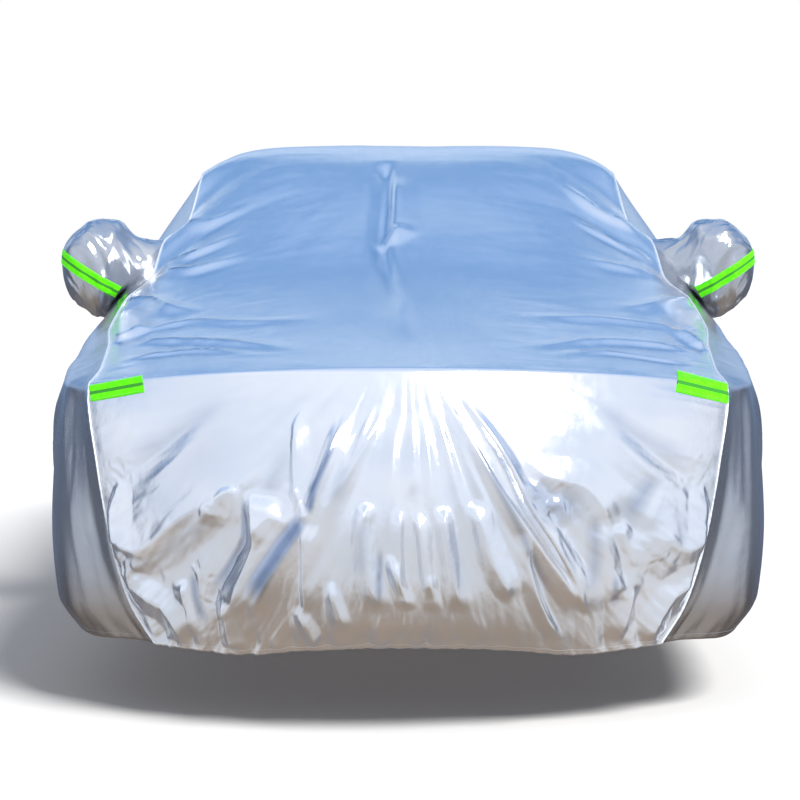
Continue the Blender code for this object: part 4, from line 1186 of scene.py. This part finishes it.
# Side panels and pockets take the copy with painted shade.
for piece in (*side_panels.values(), *pockets.values()):
    piece.data.materials.append(SILVER_PAINTED_SHADE)
for piece in strips.values():
    piece.data.materials.append(GREEN)
print("finishes:", [finish.name for finish in (SILVER, SILVER_PAINTED_SHADE, WELT, GREEN)])

# %% Make the welts
WELT_TREE, WELT_INPUTS = welt_tree(WELT)
seam_places = np.concatenate([np.arange(0, TOTAL_UP, 0.01), [TOTAL_UP]])
cord = {"Radius": 0.0030, "Pucker": 0.35}
welts = {}
for suffix, side in (("left", -1), ("right", 1)):
    line = line_object("seam_" + suffix, [seam_line(seam_places) * (side, 1, 1) - ORIGIN])
    welts[suffix] = grown(line, WELT_TREE, WELT_INPUTS, cord, "seam_welt_cloth_" + suffix)

# %% [markdown]
# ## Stitches
# Rows of thread hold the welts, the hem and the tape. Each row is a line that lies on the cloth, and Geometry
# Nodes set a small rounded stitch at even steps along it.

# %% A node tree for stitches
STITCH_STEP = 0.0050
STITCH_LENGTH = 0.0034
STITCH_THICK = 0.0005
STITCH_LIFT = 0.0005
STITCH_SEED = 7


def stitch_tree(material):
    """Small stitches in a row along the edges of a mesh."""
    nodes, identifiers = node_group("stitches", {
        "Step": STITCH_STEP, "Stitch Length": STITCH_LENGTH, "Thickness": STITCH_THICK, "Seed": STITCH_SEED,
    })
    given = nodes.node("NodeGroupInput")
    curve = nodes.node("GeometryNodeMeshToCurve", {}, {"Mesh": given["Geometry"]})
    steps = {"Curve": curve, "Length": given["Step"]}
    points = nodes.node("GeometryNodeCurveToPoints", {"mode": "LENGTH"}, steps)
    stitch = nodes.node("GeometryNodeMeshIcoSphere", {}, {"Radius": 0.5, "Subdivisions": 1})
    uneven = nodes.node("FunctionNodeRandomValue", {}, {2: 0.8, 3: 1.1, "Seed": given["Seed"]})[1]
    length = given["Stitch Length"] * uneven
    thick = given["Thickness"]
    size = nodes.node("ShaderNodeCombineXYZ", {}, {"X": thick, "Y": thick, "Z": length})
    placed = {"Points": points, "Rotation": points["Rotation"], "Instance": stitch, "Scale": size}
    hand_out(nodes, nodes.node("GeometryNodeInstanceOnPoints", {}, placed), material)
    return nodes.tree, identifiers


# %% Lines for the stitches
HEM_ROW = 4
TAPE_EDGE = 0.43
TAPE_STEPS = 60


def beside_edge(shape, facing, place):
    """A line on a grid that runs place columns in from its first column."""
    low = int(place)
    part = place - low
    line = shape[:, low] * (1 - part) + shape[:, low + 1] * part
    return line + facing[:, low] * STITCH_LIFT - ORIGIN


def on_cloth(cloth, points):
    """Points moved along +Y onto a cloth."""
    hits = []
    for point in points:
        found, place, normal, _ = cloth.ray_cast(point - Vector((0.0, 1.5, 0.0)), Vector((0.0, 1.0, 0.0)))
        if found:
            hits.append(place + normal * (STITCH_LIFT + STRIP_LIFT + STRIP_THICK))
    return hits


def strip_lines(name, suffix, cloth, side):
    """Two lines along the edges of a strip."""
    start_x, start_z, end_x, end_z, width, _ = BANDS[f"{name}_{suffix}"]
    start = table_point(start_x, 1.0, start_z, side)
    end = table_point(end_x, 1.0, end_z, side)
    run = (end - start).normalized()
    over = Vector((-run.z, 0.0, run.x)) * width * TAPE_EDGE
    steps = [start.lerp(end, number / TAPE_STEPS) for number in range(2, TAPE_STEPS - 1)]
    return [on_cloth(cloth, [point + over * way for point in steps]) for way in (-1, 1)]


seam_lines = []
hem_lines = [front_shape[HEM_ROW] + front_facing[HEM_ROW] * STITCH_LIFT - ORIGIN]
hem_lines.append(rest_shape[-2] + rest_facing[-2] * STITCH_LIFT - ORIGIN)
for step in (1, -1):
    seam_lines.append(beside_edge(front_shape[:, ::step], front_facing[:, ::step], 1.5))
    seam_lines.append(beside_edge(rest_shape[:, ::step], rest_facing[:, ::step], 0.5))
tape_lines = []
for suffix, side in (("left", -1), ("right", 1)):
    turned = (side, 1, 1)
    facing = grid_normals(side_shapes[suffix])
    seam_lines.append((beside_edge(side_shapes[suffix], facing, 0.6) + ORIGIN) * turned - ORIGIN)
    hem_lines.append((side_shapes[suffix][:, -3] + facing[:, -3] * STITCH_LIFT) * turned - ORIGIN)
    tape_lines += strip_lines("front_strip", suffix, centre_panel, side)
    tape_lines += strip_lines("mirror_strip", suffix, pockets[suffix], side)
STITCH_TREE, STITCH_INPUTS = stitch_tree(WELT)
stitches = {}
row = {"Step": STITCH_STEP, "Seed": STITCH_SEED}
for name, lines in (("seam", seam_lines), ("hem", hem_lines), ("tape", tape_lines)):
    line = line_object(name + "_line", lines)
    stitches[name] = grown(line, STITCH_TREE, STITCH_INPUTS, row, name + "_stitches")

# %% [markdown]
# ## Ride and replace
# Every piece rides on the one body, and each cloth stands for its solid.

# %% Attach each piece and hide its solid
def ready(piece, node):
    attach(piece, "root")
    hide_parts(node)


ready(centre_panel, "centre_panel")
for suffix in ("left", "right"):
    ready(side_panels[suffix], "side_panel_" + suffix)
    "side_panel_" + suffix
    ready(pockets[suffix], "mirror_pocket_" + suffix)
    "mirror_pocket_" + suffix
    ready(welts[suffix], "seam_welt_" + suffix)
    ready(strips["front_strip_" + suffix], "front_strip_" + suffix)
    ready(strips["mirror_strip_" + suffix], "mirror_strip_" + suffix)
for piece in stitches.values():
    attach(piece, "root")

# %% [markdown]
# ## Surroundings
# A mirror-like cloth shows what is round it, so the surroundings are half of its look: bright haze in front,
# darker ground and blue sky at the sides and behind, and warm ground straight below. They show in the cloth
# alone: the camera sees plain white, and the soft light on everything is plain too.

# %% The surroundings
# Each stop is a height (-1 straight down, 0 level, 1 straight up) and the three parts of a colour.
FRONT_LOOK = (
    (-1.0, 0.36, 0.29, 0.23), (-0.92, 0.37, 0.31, 0.265), (-0.77, 0.53, 0.49, 0.455),
    (-0.60, 0.66, 0.65, 0.66), (-0.50, 0.70, 0.71, 0.74), (-0.30, 0.70, 0.72, 0.76),
    (-0.10, 0.68, 0.72, 0.79), (-0.04, 0.84, 0.89, 0.98), (0.08, 0.80, 0.87, 1.00), (0.26, 0.94, 0.99, 1.07),
    (0.46, 0.78, 0.86, 1.01), (0.62, 0.88, 0.94, 1.05), (0.73, 0.82, 0.90, 1.03), (0.80, 1.04, 1.09, 1.16),
    (1.0, 0.70, 0.82, 1.04),
)
SIDE_LOOK = (
    (-1.0, 0.36, 0.28, 0.21), (-0.85, 0.33, 0.28, 0.24), (-0.60, 0.25, 0.24, 0.25),
    (-0.30, 0.17, 0.175, 0.20), (-0.08, 0.15, 0.17, 0.22), (0.10, 0.15, 0.19, 0.28), (0.30, 0.20, 0.29, 0.46),
    (0.50, 0.42, 0.57, 0.86), (0.75, 0.60, 0.75, 1.02), (1.0, 0.66, 0.79, 1.03),
)
BACK_LOOK = (
    (-1.0, 0.34, 0.27, 0.21), (-0.60, 0.28, 0.25, 0.24), (-0.30, 0.15, 0.155, 0.19),
    (-0.05, 0.14, 0.18, 0.27), (0.04, 0.28, 0.42, 0.70), (0.16, 0.46, 0.64, 0.95), (0.30, 0.68, 0.86, 1.10),
    (0.355, 0.68, 0.86, 1.10), (0.39, 0.34, 0.54, 0.87), (0.42, 0.06, 0.25, 0.60), (0.53, 0.07, 0.26, 0.61),
    (0.60, 0.32, 0.52, 0.87), (0.72, 0.40, 0.60, 0.93), (0.88, 0.56, 0.72, 1.00), (1.0, 0.66, 0.79, 1.03),
)
AMBIENT = (0.30, 0.31, 0.33, 1.0)
WHITE = (1.0, 1.0, 1.0, 1.0)


def look_ramp(nodes, height, stops):
    """A colour ramp over the height, from its stops."""
    colour = nodes.node("ShaderNodeValToRGB", {}, {"Fac": height})
    band = colour.socket.node.color_ramp
    band.interpolation = "EASE"
    while len(band.elements) < len(stops):
        band.elements.new(0.5)
    for element, (place, *shade) in zip(band.elements, stops):
        element.position = (place + 1) / 2
        element.color = (*shade, 1)
    return colour


world = bpy.data.worlds.new("soft studio")
bpy.context.scene.world = world
world.use_nodes = True
world.node_tree.nodes.clear()
studio = Nodes(world.node_tree)
ray = studio.node("ShaderNodeSeparateXYZ", {}, {"Vector": studio.node("ShaderNodeTexCoord")["Generated"]})
height = (ray["Z"] + 1) * 0.5
level = (ray["X"] * ray["X"] + ray["Y"] * ray["Y"]).power(0.5).most(0.001)
forward = ray["Y"] * -1 / level
front, beside, behind = [look_ramp(studio, height, stops) for stops in (FRONT_LOOK, SIDE_LOOK, BACK_LOOK)]
around = studio.mixed(studio.range_of(forward, -0.90, -0.55), behind, beside)
around = studio.mixed(studio.range_of(forward, -0.34, -0.14), around, front)
path = studio.node("ShaderNodeLightPath")
seen = studio.mixed(path["Is Diffuse Ray"], around, AMBIENT)
seen = studio.mixed(path["Is Camera Ray"], seen, WHITE)
studio.node("ShaderNodeOutputWorld", {}, {"Surface": studio.node("ShaderNodeBackground", {}, {"Color": seen})})
print("nodes in the surroundings:", len(world.node_tree.nodes))

# %% Floor, light and camera
FLOOR_SIZE = 60
FOCAL_PIXELS = 2780
FRAME_PIXELS = 800
SENSOR_WIDTH = 36
HORIZON_PIXELS = 213
ASIDE_PIXELS = 8
CAMERA_DISTANCE = 9.3
CAMERA_DOWN = 0.133

bpy.ops.mesh.primitive_plane_add(size=FLOOR_SIZE, location=(0, 0, -ORIGIN[2]))
floor = bpy.context.object
floor.name = "pale_floor"
floor.visible_glossy = False
floor_looks = {"Base Color": (0.93, 0.93, 0.93, 1), "Roughness": 0.9}
floor.data.materials.append(Finish("pale_floor").finished(floor_looks))

sun = bpy.data.lights.new("high_sun", "SUN")
sun.energy = 3.6
sun.angle = math.radians(22)
sun.color = (1.0, 0.985, 0.96)
sun_lamp = new_object("high_sun", sun)
sun_lamp.rotation_euler = Vector((0.55, -0.70, 1.0)).to_track_quat("Z", "Y").to_euler()

camera_data = bpy.data.cameras.new("camera")
camera_data.lens = FOCAL_PIXELS / FRAME_PIXELS * SENSOR_WIDTH
camera = new_object("camera", camera_data)
camera.location = (0.0, -CAMERA_DISTANCE, -CAMERA_DOWN)
pitch = math.atan(HORIZON_PIXELS / FOCAL_PIXELS)
camera.rotation_euler = (math.radians(90) - pitch, 0.0, math.atan(ASIDE_PIXELS / FOCAL_PIXELS))
bpy.context.scene.camera = camera
bpy.context.scene.view_settings.view_transform = "Standard"
